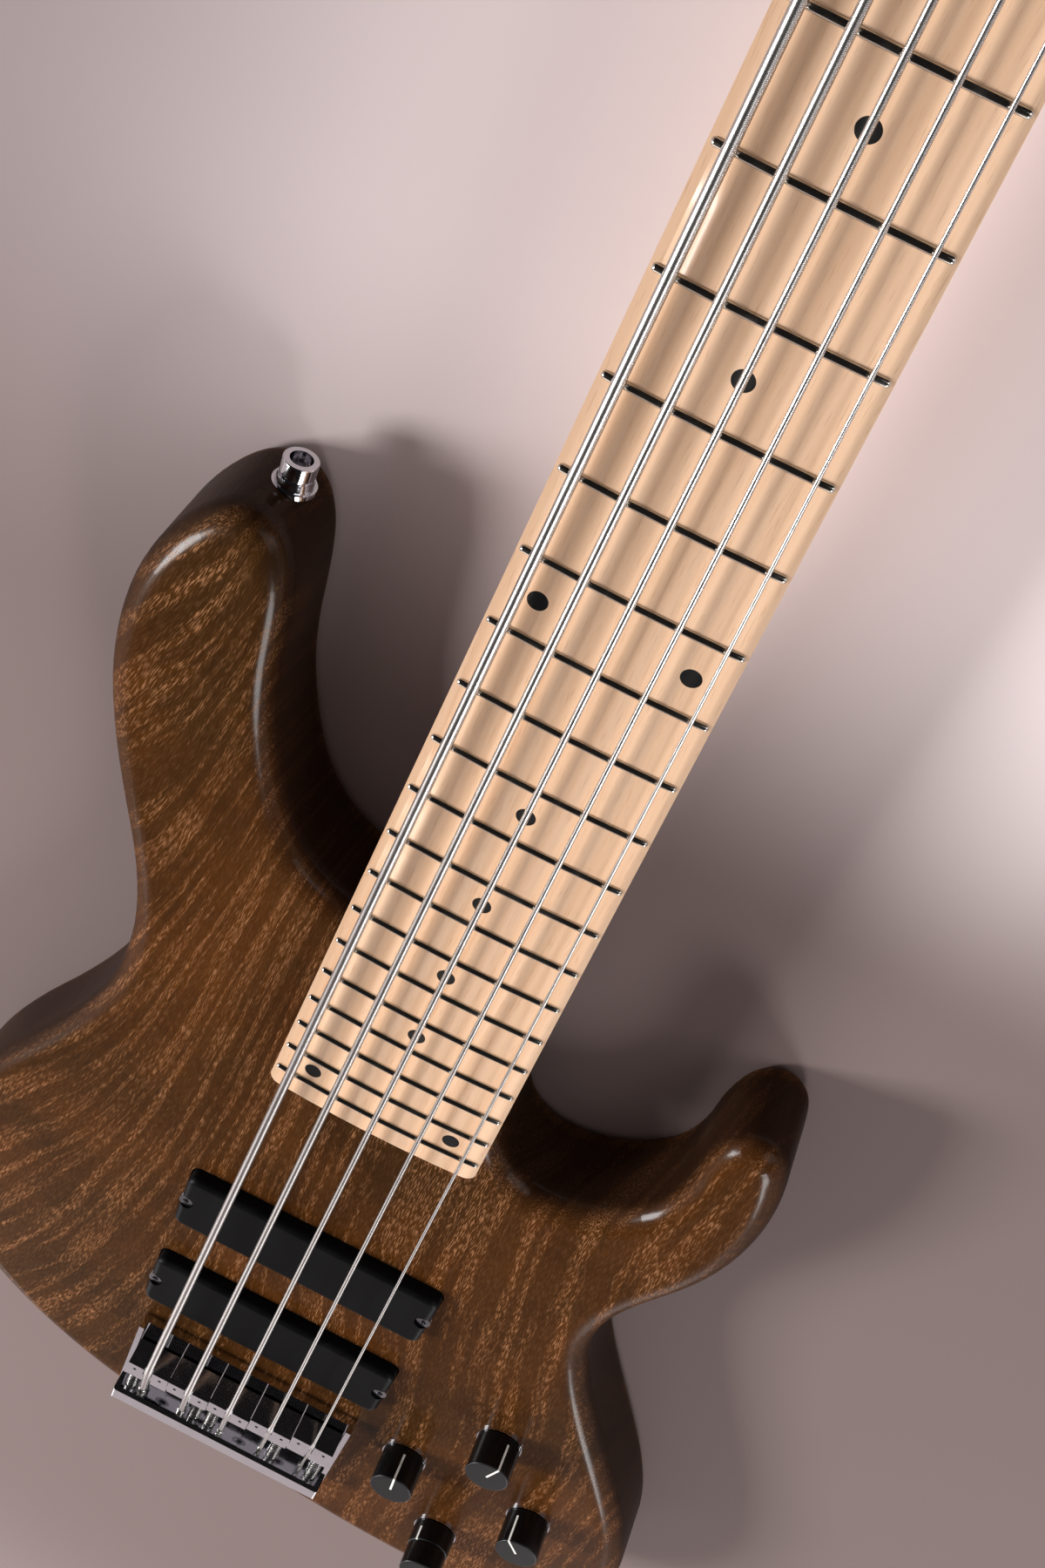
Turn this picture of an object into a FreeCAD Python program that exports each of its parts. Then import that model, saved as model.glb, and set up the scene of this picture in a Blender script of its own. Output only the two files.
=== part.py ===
import FreeCAD, Part
import math
import os

from FreeCAD import Vector

# A five-string electric bass lying on its back, in millimetres.
# X runs to the treble side, Y to the headstock, Z up out of the face.
# The origin is on the back's plane, on the neck's centreline, under the end of the scale.

os.makedirs("parts", exist_ok=True)

X_AXIS = Vector(1, 0, 0)
Y_AXIS = Vector(0, 1, 0)
Z_AXIS = Vector(0, 0, 1)
FULL_TURN = 2 * math.pi
QUARTER_TURN = FULL_TURN / 4

# Fits and cuts
overrun = 4.0
contact_gap = 0.02
running_gap = 0.05
moving_gap = 0.3

# Scale, strings and fingerboard
scale_length = 863.6
fret_count = 24
octave_frets = 12
string_names = ("b", "e", "a", "d", "g")
string_gauges = (3.3, 2.7, 2.1, 1.65, 1.15)
string_count = len(string_names)
nut_string_spacing = 9.0
saddle_spacing = 18.6
saddle_setbacks = (5.5, 4.2, 3.0, 1.6, 0.4)
nut_action = 0.4
saddle_action = 3.2
nut_width = 45.0
last_fret_width = 77.6
board_tail = 9.5
board_thickness = 6.0
board_radius = 508.0
board_corner = 4.0
fret_height = 1.1
fret_width = 2.4
fret_round = 0.6
fret_inset = 0.7
tang_width = 0.6
tang_depth = 1.8
dot_radius = 3.0
dot_depth = 2.0
dot_pair_share = 0.67
single_dot_numbers = (3, 5, 7, 9, 15, 17, 19, 21)
double_dot_numbers = (12, 24)
side_dot_radius = 1.0
side_dot_depth = 2.5
side_dot_drop = 3.2
nut_thickness = 5.0
nut_shoulder = 0.6

# Body
body_width = 332.0
body_length = 500.0
body_thickness = 41.0
top_round_share = 0.0431
back_round_share = 0.0272
neck_rise = 10.5
body_outline_shares = (
    (-0.114, 0.580), (-0.172, 0.602), (-0.221, 0.656), (-0.248, 0.716), (-0.259, 0.778),
    (-0.269, 0.808), (-0.288, 0.8275), (-0.312, 0.834), (-0.338, 0.8285), (-0.362, 0.812),
    (-0.394, 0.768), (-0.405, 0.704),
    (-0.372, 0.600), (-0.322, 0.500), (-0.313, 0.416), (-0.356, 0.322), (-0.431, 0.224),
    (-0.467, 0.120), (-0.434, 0.028), (-0.331, -0.052), (-0.181, -0.108), (0.000, -0.140),
    (0.181, -0.160), (0.346, -0.162), (0.470, -0.130), (0.533, -0.056), (0.509, 0.024),
    (0.443, 0.106), (0.366, 0.194), (0.327, 0.276), (0.340, 0.320), (0.383, 0.388),
    (0.402, 0.456), (0.3875, 0.530), (0.376, 0.546), (0.350, 0.5545), (0.324, 0.546),
    (0.3125, 0.530), (0.301, 0.460), (0.253, 0.414), (0.181, 0.401), (0.133, 0.424),
    (0.114, 0.464), (0.066, 0.516),
)

# Neck and headstock
heel_depth = 20.0
heel_length = 69.0
heel_round = 8.0
pocket_gap = 0.1
neck_side = 2.0
neck_depth_at_nut = 15.0
neck_depth_at_heel = 17.5
head_drop = 6.0
head_thickness = 15.0
head_length = 172.0
head_width = 84.0
head_throat = 17.0
head_throat_width = 54.0
head_round = 2.0
head_outline_shares = (
    (-0.280, 0.090), (-0.380, 0.155), (-0.488, 0.235), (-0.492, 0.350), (-0.445, 0.560),
    (-0.395, 0.780), (-0.290, 0.940), (-0.060, 1.000), (0.180, 0.950), (0.340, 0.830),
    (0.420, 0.650), (0.488, 0.470), (0.497, 0.330), (0.440, 0.215), (0.300, 0.120),
)

# Truss rod
rod_width = 6.0
rod_depth = 9.0
rod_inset = 14.0
rod_thread_radius = 2.5
rod_thread_length = 12.0
truss_nut_radius = 4.2
truss_nut_length = 14.0
truss_nut_drop = 4.6
truss_socket_radius = 2.3
truss_socket_depth = 6.0

# Tuners: one place per string, across and along the headstock from the nut
post_across_shares = (-0.321, -0.262, -0.202, 0.250, 0.321)
post_along_shares = (0.2791, 0.5349, 0.7907, 0.6628, 0.4070)
post_radius = 5.0
post_top_radius = 6.2
post_top_height = 2.4
post_height = 23.0
post_slot_width = 3.0
post_slot_depth = 4.0
bushing_wall = 2.0
bushing_flange_radius = 9.0
bushing_flange_height = 2.5
gear_teeth = 18
gear_tip_radius = 7.5
gear_root_radius = 6.3
gear_height = 5.0
gear_floor_gap = 1.5
worm_radius = 2.6
worm_gap = 0.4
worm_length = 12.0
key_shaft_radius = 2.2
housing_wall = 1.6
housing_height = 12.0
housing_half_width = 11.0
housing_tab = 8.0
housing_tab_thickness = 2.5
housing_corner = 2.5
key_reach = 22.0
key_length = 22.0
key_width = 26.0
key_thickness = 6.0
key_round = 2.4
winding_turns = 2
winding_air = 0.8
string_bend_radius = 12.0

# String retainer behind the nut
retainer_setback = 22.0
retainer_radius = 2.2
retainer_half_length = 26.0
retainer_rise = 11.5
retainer_post_inset = 2.4
retainer_foot_radius = 4.0
retainer_foot_height = 2.0

# Bridge
bridge_front = 10.6
bridge_length = 56.4
bridge_floor = 4.0
bridge_rail = 2.2
bridge_rail_height = 7.5
bridge_wall = 9.5
bridge_wall_height = 12.0
bridge_bevel_depth = 2.3
bridge_bevel_drop = 1.0
bridge_round = 0.8
saddle_gap = 0.3
saddle_top_depth = 6.0
saddle_front_lean = 3.2
saddle_depth = 18.0
saddle_step_height = 9.2
saddle_bar_depth = 5.0
saddle_bar_rise = 1.2
saddle_lift = 0.7
saddle_travel = 3.0
grub_radius = 1.5
grub_inset = 3.4
grub_setback = 3.0
grub_socket_radius = 0.8
grub_socket_depth = 1.6
intonation_sides = (-1, 1, -1, 1, 1)
intonation_offset = 5.6
intonation_height = 7.0
intonation_radius = 1.5
intonation_reach = 10.0
intonation_head_radius = 2.4
intonation_head_height = 2.2
spring_radius = 2.3
spring_wire = 0.6
spring_curls = 10
ball_radius = 2.6
ball_length = 4.0
ball_hole_depth = 6.0
string_exit_drop = 7.2

# Pickups
pickup_length = 105.0
pickup_width = 32.0
pickup_rise = 5.8
pickup_depth = 14.0
pickup_corner = 4.0
pickup_top_round = 2.6
pickup_wall = 2.0
pickup_end_wall = 6.5
pickup_room = 0.5
neck_pickup_y = 107.0
bridge_pickup_y = 46.0
pickup_cavity_depth = 20.0
pickup_sink = 1.5
pickup_screw_inset = 2.2
pickup_notch_radius = 3.4
pickup_notch_depth = 3.0
pickup_screw_head_radius = 2.8
pickup_screw_head_height = 2.0
pickup_screw_radius = 1.4
pickup_screw_length = 26.0
core_height = 12.0

# Controls: four shafts at the points of a diamond over a round cavity
control_x = 102.0
control_y = 2.0
control_span_x = 28.8
control_span_y = 44.5
control_radius = 55.0
control_roof = 7.0
control_ledge = 6.0
cover_thickness = 2.4
cover_screw_count = 3
pot_radius = 8.5
pot_height = 8.0
pot_bush_radius = 4.7
pot_bush_rise = 4.5
pot_shaft_radius = 3.0
ring_shaft_radius = 4.0
panel_washer_radius = 9.6
panel_washer_height = 1.0
panel_nut_radius = 6.5
panel_nut_height = 2.4
knob_radius = 9.1
knob_height = 15.0
knob_round = 0.8
knob_recess_radius = 7.4
knob_recess_depth = 5.0
knob_shaft_depth = 6.0
knob_line_width = 1.0
knob_line_depth = 0.3
knob_line_start = 3.0
ring_height = 9.4
stack_radius = 8.7
stack_height = 10.2
volume_line_angle = 96
blend_line_angle = 74
mid_line_angle = 129
ring_line_angle = 139
stack_line_angle = 270
board_half_length = 33.0
board_half_width = 13.0
circuit_thickness = 1.6
chip_length = 9.0
chip_width = 6.0
chip_height = 3.0

# Battery box in the back
battery_x = -62.0
battery_y = -8.0
battery_length = 48.5
battery_width = 26.5
battery_height = 17.5
battery_room = 0.75
battery_ledge = 6.0
battery_corner = 3.0

# Output jack in the treble side
jack_y = -28.0
jack_barrel_radius = 7.5
jack_barrel_length = 34.0
jack_bore_radius = 3.25
jack_bore_length = 26.0
jack_nut_radius = 9.5
jack_nut_height = 2.5
jack_seat = 1.6

# Strap buttons
horn_button_share = -0.302
tail_button_share = 0.0
button_rise = 17.5
button_height = 9.8
button_radius = 5.4
button_lip_height = 5.0
button_lip_round = 0.5
button_waist_radius = 4.9
button_flare_radius = 5.5
button_flange_radius = 5.8
button_flange_height = 2.7
button_washer_radius = 6.7
button_washer_height = 1.4
button_bore_radius = 3.5
button_bore_depth = 6.4
button_seat = 0.9
strap_screw_radius = 1.8
strap_screw_head_radius = 2.9
strap_screw_head_height = 2.0
strap_screw_length = 34.0

# Neck bolts and small screws
bolt_half_span = 22.0
bolt_row_y = 12.0
bass_bolt_pitch = 44.0
treble_bolt_pitch = 22.0
bolt_radius = 2.4
bolt_length = 36.0
bolt_head_radius = 4.4
bolt_head_height = 3.0
bolt_recess = 0.6
ferrule_radius = 7.5
ferrule_height = 6.0
small_screw_radius = 1.3
small_screw_head_radius = 2.2
small_screw_head_height = 1.4
small_screw_length = 10.0
bridge_screw_radius = 1.9
bridge_screw_head_radius = 3.2
bridge_screw_head_height = 1.8
bridge_screw_length = 16.0
bridge_screw_setback = 38.0
socket_share = 0.5
upright_share = 0.5
hex_sides = 6
wire_hole_radius = 4.0

# Levels and places worked out from the sizes above
face_z = body_thickness
horn_size = body_width ** 2 / body_length
top_round = top_round_share * horn_size
back_round = back_round_share * horn_size
horn_button_x = horn_button_share * body_width
tail_button_x = tail_button_share * body_width
middle_z = body_thickness / 2
board_top = face_z + neck_rise
board_bottom = board_top - board_thickness
pocket_floor = board_bottom - heel_depth
nut_y = scale_length
last_fret_y = scale_length * 2 ** (-fret_count / octave_frets)
board_end = last_fret_y - board_tail
heel_front = board_end + heel_length
head_top = board_bottom - head_drop
head_bottom = head_top - head_thickness
bridge_back = bridge_front - bridge_length
bridge_half_width = saddle_spacing * string_count / 2 + bridge_rail
bridge_floor_top = face_z + bridge_floor
wall_front = bridge_back + bridge_wall
control_centre = Vector(control_x, control_y, 0)
control_ceiling = face_z - control_roof
knob_base = face_z + panel_washer_height + moving_gap
retainer_bottom = head_top + retainer_rise
worm_offset = gear_tip_radius + worm_gap + worm_radius
gear_bottom = head_bottom - housing_height + housing_wall + gear_floor_gap
worm_z = gear_bottom + gear_height / 2


def fret_y(number):
    """Distance of a fret from the end of the scale."""
    return scale_length * 2 ** (-number / octave_frets)


def board_half(y):
    """Half width of the tapered fingerboard at a place along it."""
    taper = (last_fret_width - nut_width) / (nut_y - last_fret_y)
    return (nut_width + taper * (nut_y - y)) / 2


def crown_drop(x):
    """How far the rounded fingerboard lies under its crown at a distance from the centreline."""
    return board_radius - math.sqrt(board_radius ** 2 - x ** 2)


def block(low, high):
    """Box between two corners."""
    return Part.makeBox(high.x - low.x, high.y - low.y, high.z - low.z, low)


def rounded_block(low, high, corner):
    """Box whose upright edges are rounded."""
    solid = block(low, high)
    upright = [edge for edge in solid.Edges if abs(edge.tangentAt(edge.FirstParameter).z) > upright_share]
    return solid.makeFillet(corner, upright)


def prism(points, z_low, z_high):
    """Upright prism on a polygon given as (x, y) pairs."""
    corners = [Vector(x, y, z_low) for x, y in points]
    wire = Part.makePolygon(corners + corners[:1])
    return Part.Face(wire).extrude(Z_AXIS * (z_high - z_low))


def cross_prism(profile, x_low, x_high):
    """Prism along X on a profile given as (y, z) pairs."""
    corners = [Vector(x_low, y, z) for y, z in profile]
    wire = Part.makePolygon(corners + corners[:1])
    return Part.Face(wire).extrude(X_AXIS * (x_high - x_low))


def regular_prism(centre, radius, sides, along, length):
    """Prism with equal sides about any axis."""
    polygon = [(radius * math.cos(FULL_TURN * i / sides), radius * math.sin(FULL_TURN * i / sides))
               for i in range(sides)]
    solid = prism(polygon, 0, length)
    solid.Placement = FreeCAD.Placement(centre, FreeCAD.Rotation(Z_AXIS, along))
    return solid


def smooth_outline(points):
    """Closed wire of tangent arcs through the points, which takes its directions from a smooth curve."""
    curve = Part.BSplineCurve()
    curve.interpolate(Points=points, PeriodicFlag=True)
    ways = [curve.tangent(curve.parameter(point))[0] for point in points]
    edges = []
    for index, point in enumerate(points):
        after = (index + 1) % len(points)
        edges.extend(biarc(point, ways[index], points[after], ways[after]))
    return Part.Wire(edges)


def edges_at(solid, z):
    """Edges of a solid that lie wholly at one height."""
    return [edge for edge in solid.Edges
            if abs(edge.BoundBox.ZMin - z) < contact_gap and abs(edge.BoundBox.ZMax - z) < contact_gap]


def screw(top, along, head_radius, head_height, shank_radius, length, grow=0):
    """Countersunk screw, or the hole for one when it is grown by a gap."""
    head = Part.makeCone(head_radius + grow, shank_radius + grow, head_height, top, along)
    shank = Part.makeCylinder(shank_radius + grow, length + grow, top, along)
    whole = head.fuse(shank).removeSplitter()
    if grow:
        return whole
    depth = head_height * socket_share
    return whole.cut(regular_prism(top, shank_radius * socket_share * 2, hex_sides, along, depth))


def small_screw(top, along, grow=0):
    """Screw of the size that holds covers, tuners and the retainer."""
    return screw(top, along, small_screw_head_radius, small_screw_head_height,
                 small_screw_radius, small_screw_length, grow)


def tangent_arc(start, corner, end):
    """Arc that leaves start towards the corner and comes to end from it, both at one distance."""
    to_start = start - corner
    to_end = end - corner
    reach = to_start.Length
    half_angle = to_start.getAngle(to_end) / 2
    middle = to_start + to_end
    middle.normalize()
    inset = reach / math.cos(half_angle) - reach * math.tan(half_angle)
    return Part.Arc(start, corner + middle * inset, end).toShape()


def rounded_route(points, radius):
    """Straight runs through the points, joined by tangent arcs of one radius."""
    edges = []
    last = points[0]
    for before, corner, after in zip(points, points[1:], points[2:]):
        inward = (before - corner).normalize()
        outward = (after - corner).normalize()
        reach = radius / math.tan(inward.getAngle(outward) / 2)
        start = corner + inward * reach
        end = corner + outward * reach
        edges.append(Part.LineSegment(last, start).toShape())
        edges.append(tangent_arc(start, corner, end))
        last = end
    edges.append(Part.LineSegment(last, points[-1]).toShape())
    return edges


def biarc(start, start_way, end, end_way):
    """Two arcs that join two points and keep the direction at each."""
    span = end - start
    both = start_way + end_way
    spread = 2 * (1 - start_way.dot(end_way))
    reach = (math.sqrt(span.dot(both) ** 2 + spread * span.dot(span)) - span.dot(both)) / spread
    first_corner = start + start_way * reach
    last_corner = end - end_way * reach
    joint = (first_corner + last_corner) / 2
    return [tangent_arc(start, first_corner, joint), tangent_arc(joint, last_corner, end)]


def helix_edges(centre, axis, start_arm, turns, rise, hand, first_way=None):
    """Helix of biarcs, each a quarter turn, about an axis; rise is the climb of a whole turn."""
    side_arm = axis.cross(start_arm) * hand
    steps = int(round(turns * 4))
    places = []
    for step in range(steps + 1):
        angle = QUARTER_TURN * step
        arm = start_arm * math.cos(angle) + side_arm * math.sin(angle)
        way = side_arm * math.cos(angle) - start_arm * math.sin(angle) + axis * (rise / FULL_TURN)
        way.normalize()
        places.append((centre + arm + axis * (rise * step / 4), way))
    if first_way is not None:
        places[0] = (places[0][0], first_way)
    edges = []
    for (start, start_way), (end, end_way) in zip(places, places[1:]):
        edges.extend(biarc(start, start_way, end, end_way))
    return edges, places[-1]


def tube(edges, radius, label):
    """Round tube along a route; prints its least gap to itself and its volume against section by length."""
    path = Part.Wire(edges)
    start = edges[0].valueAt(edges[0].FirstParameter)
    way = edges[0].tangentAt(edges[0].FirstParameter)
    section = Part.Wire(Part.Circle(start, way, radius).toShape())
    solid = path.makePipeShell([section], True, False)
    if solid.ShapeType != "Solid":
        solid = solid.Solids[0]
    if solid.Volume < 0:
        solid.reverse()
    count = max(int(path.Length / radius), len(edges) * 4)
    points = path.discretize(Number=count)
    step = path.Length / (count - 1)
    apart = int(math.ceil(math.pi * 2 * radius / step)) + 1
    least = min((points[i] - points[j]).Length
                for i in range(count) for j in range(i + apart, min(count, i + apart * 8)))
    share = solid.Volume / (math.pi * radius ** 2 * path.Length)
    gap = least - 2 * radius
    print(f"{label}: length {path.Length:.1f}, gap to itself {gap:.2f}, volume share {share:.4f}")
    return solid


def save(node, *solids):
    """Writes one node's solids to its file."""
    flat = [solid for shape in solids for solid in shape.Solids]
    for solid in flat:
        if not solid.isValid() or solid.Volume <= 0:
            print(f"{node}: a solid is not valid")
    shape = flat[0] if len(flat) == 1 else Part.makeCompound(flat)
    shape.exportStep(f"parts/{node}.step")


def mirrored_pairs(x, y):
    """The same place on the bass and the treble side."""
    return [(-x, y), (x, y)]


# String geometry shared by the saddles, the nut, the tuners and the strings

def string_place(index, spacing):
    """Distance of a string from the centreline where the strings have this spacing."""
    return (index - (string_count - 1) / 2) * spacing


def string_height(x, action, gauge):
    """Height of a string's middle over the back, at a distance from the centreline."""
    return board_top - crown_drop(x) + fret_height + action + gauge / 2


def string_side(index):
    """-1 for a tuner on the bass side of the headstock and 1 for one on the treble side."""
    return -1 if post_across_shares[index] < 0 else 1


def post_place(index):
    """Axis of a tuner's post, at the height of the headstock's face."""
    x = post_across_shares[index] * head_width
    y = nut_y + post_along_shares[index] * head_length
    return Vector(x, y, head_top)


def crest_point(index):
    """Where a string bends over its saddle."""
    x = string_place(index, saddle_spacing)
    return Vector(x, -saddle_setbacks[index], string_height(x, saddle_action, string_gauges[index]))


def nut_point(index):
    """Where a string bends over the nut."""
    x = string_place(index, nut_string_spacing)
    return Vector(x, nut_y, string_height(x, nut_action, string_gauges[index]))


def anchor_point(index):
    """Middle of a string at the bridge's rear wall, in front of its ball end."""
    crest = crest_point(index)
    return Vector(crest.x, bridge_back + ball_hole_depth, crest.z - string_exit_drop)


def winding_start(index):
    """Where a string meets its post: the touching point, the post's axis there and the way it runs."""
    nut = nut_point(index)
    gauge = string_gauges[index]
    post = post_place(index)
    height = retainer_bottom - gauge / 2 - moving_gap
    radius = post_radius + moving_gap + gauge / 2
    centre = Vector(post.x, post.y, height)
    to_post = Vector(post.x - nut.x, post.y - nut.y, 0)
    swing = math.acos(radius / to_post.Length)
    back = math.atan2(-to_post.y, -to_post.x)
    angle = back - string_side(index) * swing
    arm = Vector(radius * math.cos(angle), radius * math.sin(angle), 0)
    touch = centre + arm
    way = Vector(touch.x - nut.x, touch.y - nut.y, 0).normalize()
    return centre, arm, touch, way


def retainer_point(index):
    """Where a string passes under the retainer bar, on its way from the nut to its post."""
    nut = nut_point(index)
    touch = winding_start(index)[2]
    share = retainer_setback / (touch.y - nut.y)
    return Vector(nut.x + (touch.x - nut.x) * share, nut.y + retainer_setback, touch.z)


def string_run(index):
    """Points of a string from its ball end to its post."""
    touch = winding_start(index)[2]
    return [anchor_point(index), crest_point(index), nut_point(index), retainer_point(index), touch]


def open_groove(start, end, radius, top):
    """Round-bottomed groove along a straight run, open upwards to a height."""
    along = (end - start).normalize()
    low = start - along * overrun
    length = (end - start).Length + 2 * overrun
    round_cut = Part.makeCylinder(radius, length, low, along)
    side = along.cross(Z_AXIS).normalize() * radius
    high = Vector(0, 0, top - min(low.z, (low + along * length).z) + overrun)
    corners = [low + side, low - side, low - side + along * length, low + side + along * length]
    slot = Part.Face(Part.makePolygon(corners + corners[:1])).extrude(high)
    return round_cut.fuse(slot)


# Neck, fingerboard and frets

def heel_outline(gap, front):
    """Corners of the heel's plan, grown by a gap."""
    end = board_end - gap
    end_half = board_half(end) + gap
    front_half = board_half(front) + gap
    return [(-end_half, end), (end_half, end), (front_half, front), (-front_half, front)]


def heel_block(gap, front, z_low, z_high):
    """Tapered block on the heel's plan, with the fingerboard's round corners."""
    solid = prism(heel_outline(gap, front), z_low, z_high)
    corners = [edge for edge in solid.Edges
               if abs(edge.tangentAt(edge.FirstParameter).z) > upright_share
               and edge.Vertexes[0].Y < board_end + overrun]
    return solid.makeFillet(board_corner + gap, corners)


def neck_section(y, half, top, side, depth):
    """Section of the neck: flat top, short sides and a round back."""
    left = Vector(-half, y, top)
    right = Vector(half, y, top)
    left_low = Vector(-half, y, top - side)
    right_low = Vector(half, y, top - side)
    back = Part.Arc(right_low, Vector(0, y, top - depth), left_low).toShape()
    top_line = Part.LineSegment(left, right).toShape()
    right_line = Part.LineSegment(right, right_low).toShape()
    left_line = Part.LineSegment(left_low, left).toShape()
    return Part.Wire([top_line, right_line, back, left_line])


def headstock_slab():
    """Flat headstock on a smooth generic outline, with softened edges."""
    points = [Vector(x * head_width, nut_y + y * head_length, head_bottom) for x, y in head_outline_shares]
    slab = Part.Face(smooth_outline(points)).extrude(Z_AXIS * head_thickness)
    return slab.makeFillet(head_round, edges_at(slab, head_bottom) + edges_at(slab, head_top))


def housing_tab_places(index):
    """Middles of the two screw tabs of a tuner's housing, at the back of the headstock."""
    post = post_place(index)
    reach = housing_half_width + housing_tab / 2
    far = worm_offset + worm_radius + housing_wall + moving_gap + housing_tab / 2
    return [Vector(post.x, post.y + reach, head_bottom), Vector(post.x, post.y - far, head_bottom)]


def retainer_feet():
    """Middles of the retainer's two feet on the headstock's face."""
    reach = retainer_half_length - retainer_post_inset
    return [Vector(x, nut_y + retainer_setback, head_top) for x in (-reach, reach)]


def neck_bolt_places():
    """Places of the neck bolts, whose rows follow the slanted edge of the body under the neck."""
    first = board_end + bolt_row_y
    return [Vector(-bolt_half_span, first, 0), Vector(bolt_half_span, first, 0),
            Vector(-bolt_half_span, first + bass_bolt_pitch, 0),
            Vector(bolt_half_span, first + treble_bolt_pitch, 0)]


def neck_bolt(place, grow=0):
    """Neck bolt with its head sunk in its ferrule."""
    return screw(place + Z_AXIS * bolt_recess, Z_AXIS, bolt_head_radius, bolt_head_height,
                 bolt_radius, bolt_length, grow)


def rod_body(gap):
    """Truss rod's bar under the fingerboard, grown by a gap for its channel."""
    low = Vector(-rod_width / 2 - gap, board_end + rod_inset - gap, board_bottom - rod_depth - gap)
    high = Vector(rod_width / 2 + gap, nut_y + nut_thickness + gap, board_bottom)
    return block(low, high)


def truss_axis(y):
    """Point on the truss rod's adjusting axis."""
    return Vector(0, y, board_bottom - truss_nut_drop)


def make_neck():
    shaft_end = heel_front - heel_round
    shaft = Part.makeLoft([
        neck_section(shaft_end, board_half(shaft_end), board_bottom, neck_side, neck_depth_at_heel),
        neck_section(nut_y, board_half(nut_y), board_bottom, neck_side, neck_depth_at_nut),
    ], True, True)
    throat = Part.makeLoft([
        neck_section(nut_y, board_half(nut_y), board_bottom, neck_side, neck_depth_at_nut),
        neck_section(nut_y + nut_thickness, board_half(nut_y), board_bottom, neck_side, neck_depth_at_nut),
        neck_section(nut_y + head_throat, head_throat_width / 2, head_top, head_thickness - neck_side,
                     head_thickness),
    ], True, True)
    heel = heel_block(0, heel_front, pocket_floor, board_bottom)
    front_edges = [edge for edge in edges_at(heel, pocket_floor)
                   if edge.BoundBox.YMin > heel_front - contact_gap]
    heel = heel.makeFillet(heel_round, front_edges)
    neck = heel.fuse([shaft, throat, headstock_slab()]).removeSplitter()
    nut_room = truss_nut_radius + moving_gap
    room_start = nut_y + nut_thickness
    room_length = truss_nut_length + moving_gap * 2 + overrun
    room = Part.makeCylinder(nut_room, room_length, truss_axis(room_start), Y_AXIS)
    slot = block(Vector(-nut_room, room_start, truss_axis(0).z),
                 Vector(nut_room, room_start + room_length, board_bottom + overrun))
    cuts = [rod_body(contact_gap), room, slot]
    for index in range(string_count):
        post = post_place(index)
        cuts.append(Part.makeCylinder(post_radius + bushing_wall + contact_gap, head_thickness + 2 * overrun,
                                      post - Z_AXIS * (head_thickness + overrun), Z_AXIS))
        for place in housing_tab_places(index):
            cuts.append(small_screw(place - Z_AXIS * housing_tab_thickness, Z_AXIS, contact_gap))
    for foot in retainer_feet():
        cuts.append(small_screw(foot + Z_AXIS * retainer_foot_height, -Z_AXIS, contact_gap))
    for place in neck_bolt_places():
        cuts.append(neck_bolt(place, contact_gap))
    save("neck", neck.cut(cuts))


def board_blank():
    """Fingerboard with its taper, round corners and rounded top."""
    blank = heel_block(0, nut_y, board_bottom, board_top)
    axis = Vector(0, board_end - overrun, board_top - board_radius)
    dome = Part.makeCylinder(board_radius, nut_y - board_end + 2 * overrun, axis, Y_AXIS)
    return blank.common(dome)


def fret_slot(number, gap):
    """Room of a fret's tang in the fingerboard."""
    y = fret_y(number)
    half = board_half(y) - fret_inset - tang_depth
    low = board_top - crown_drop(half) - tang_depth - gap
    return block(Vector(-half - gap, y - tang_width / 2 - gap, low),
                 Vector(half + gap, y + tang_width / 2 + gap, board_top + overrun))


def make_fret(number):
    """Fret wire: a crown bent over the rounded board, on its tang."""
    y = fret_y(number)
    half = board_half(y) - fret_inset
    start = y - fret_width / 2
    outer = board_radius + fret_height
    centre_z = board_top - board_radius
    inner_z = math.sqrt(board_radius ** 2 - half ** 2) + centre_z
    outer_z = math.sqrt(outer ** 2 - half ** 2) + centre_z
    inner_left = Vector(-half, start, inner_z)
    inner_right = Vector(half, start, inner_z)
    outer_left = Vector(-half, start, outer_z)
    outer_right = Vector(half, start, outer_z)
    wire = Part.Wire([
        Part.Arc(inner_left, Vector(0, start, board_top), inner_right).toShape(),
        Part.LineSegment(inner_right, outer_right).toShape(),
        Part.Arc(outer_right, Vector(0, start, board_top + fret_height), outer_left).toShape(),
        Part.LineSegment(outer_left, inner_left).toShape(),
    ])
    crown = Part.Face(wire).extrude(Y_AXIS * fret_width)
    mid_height = fret_height / 2
    top_edges = [edge for edge in crown.Edges
                 if edge.BoundBox.ZMax > board_top + mid_height and edge.BoundBox.XLength > half]
    crown = crown.makeFillet(fret_round, top_edges)
    under = Part.makeCylinder(outer - mid_height, fret_width, Vector(0, start, centre_z), Y_AXIS)
    tang = fret_slot(number, 0).common(under)
    return crown.fuse(tang).removeSplitter()


def face_dot_places():
    """Middles of the dots on the fingerboard's face."""
    places = []
    for number in single_dot_numbers + double_dot_numbers:
        y = (fret_y(number) + fret_y(number - 1)) / 2
        reach = board_half(y) * dot_pair_share if number in double_dot_numbers else 0
        places.extend([Vector(0, y, board_top)] if not reach else
                      [Vector(x, y, board_top) for x, _ in mirrored_pairs(reach, y)])
    return places


def side_dot_places():
    """Middles of the small dots in the fingerboard's bass edge."""
    places = []
    for number in single_dot_numbers + double_dot_numbers:
        y = (fret_y(number) + fret_y(number - 1)) / 2
        spread = side_dot_radius * 2
        for shift in ((-spread, spread) if number in double_dot_numbers else (0,)):
            places.append(Vector(-board_half(y + shift), y + shift, board_top - side_dot_drop))
    return places


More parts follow.
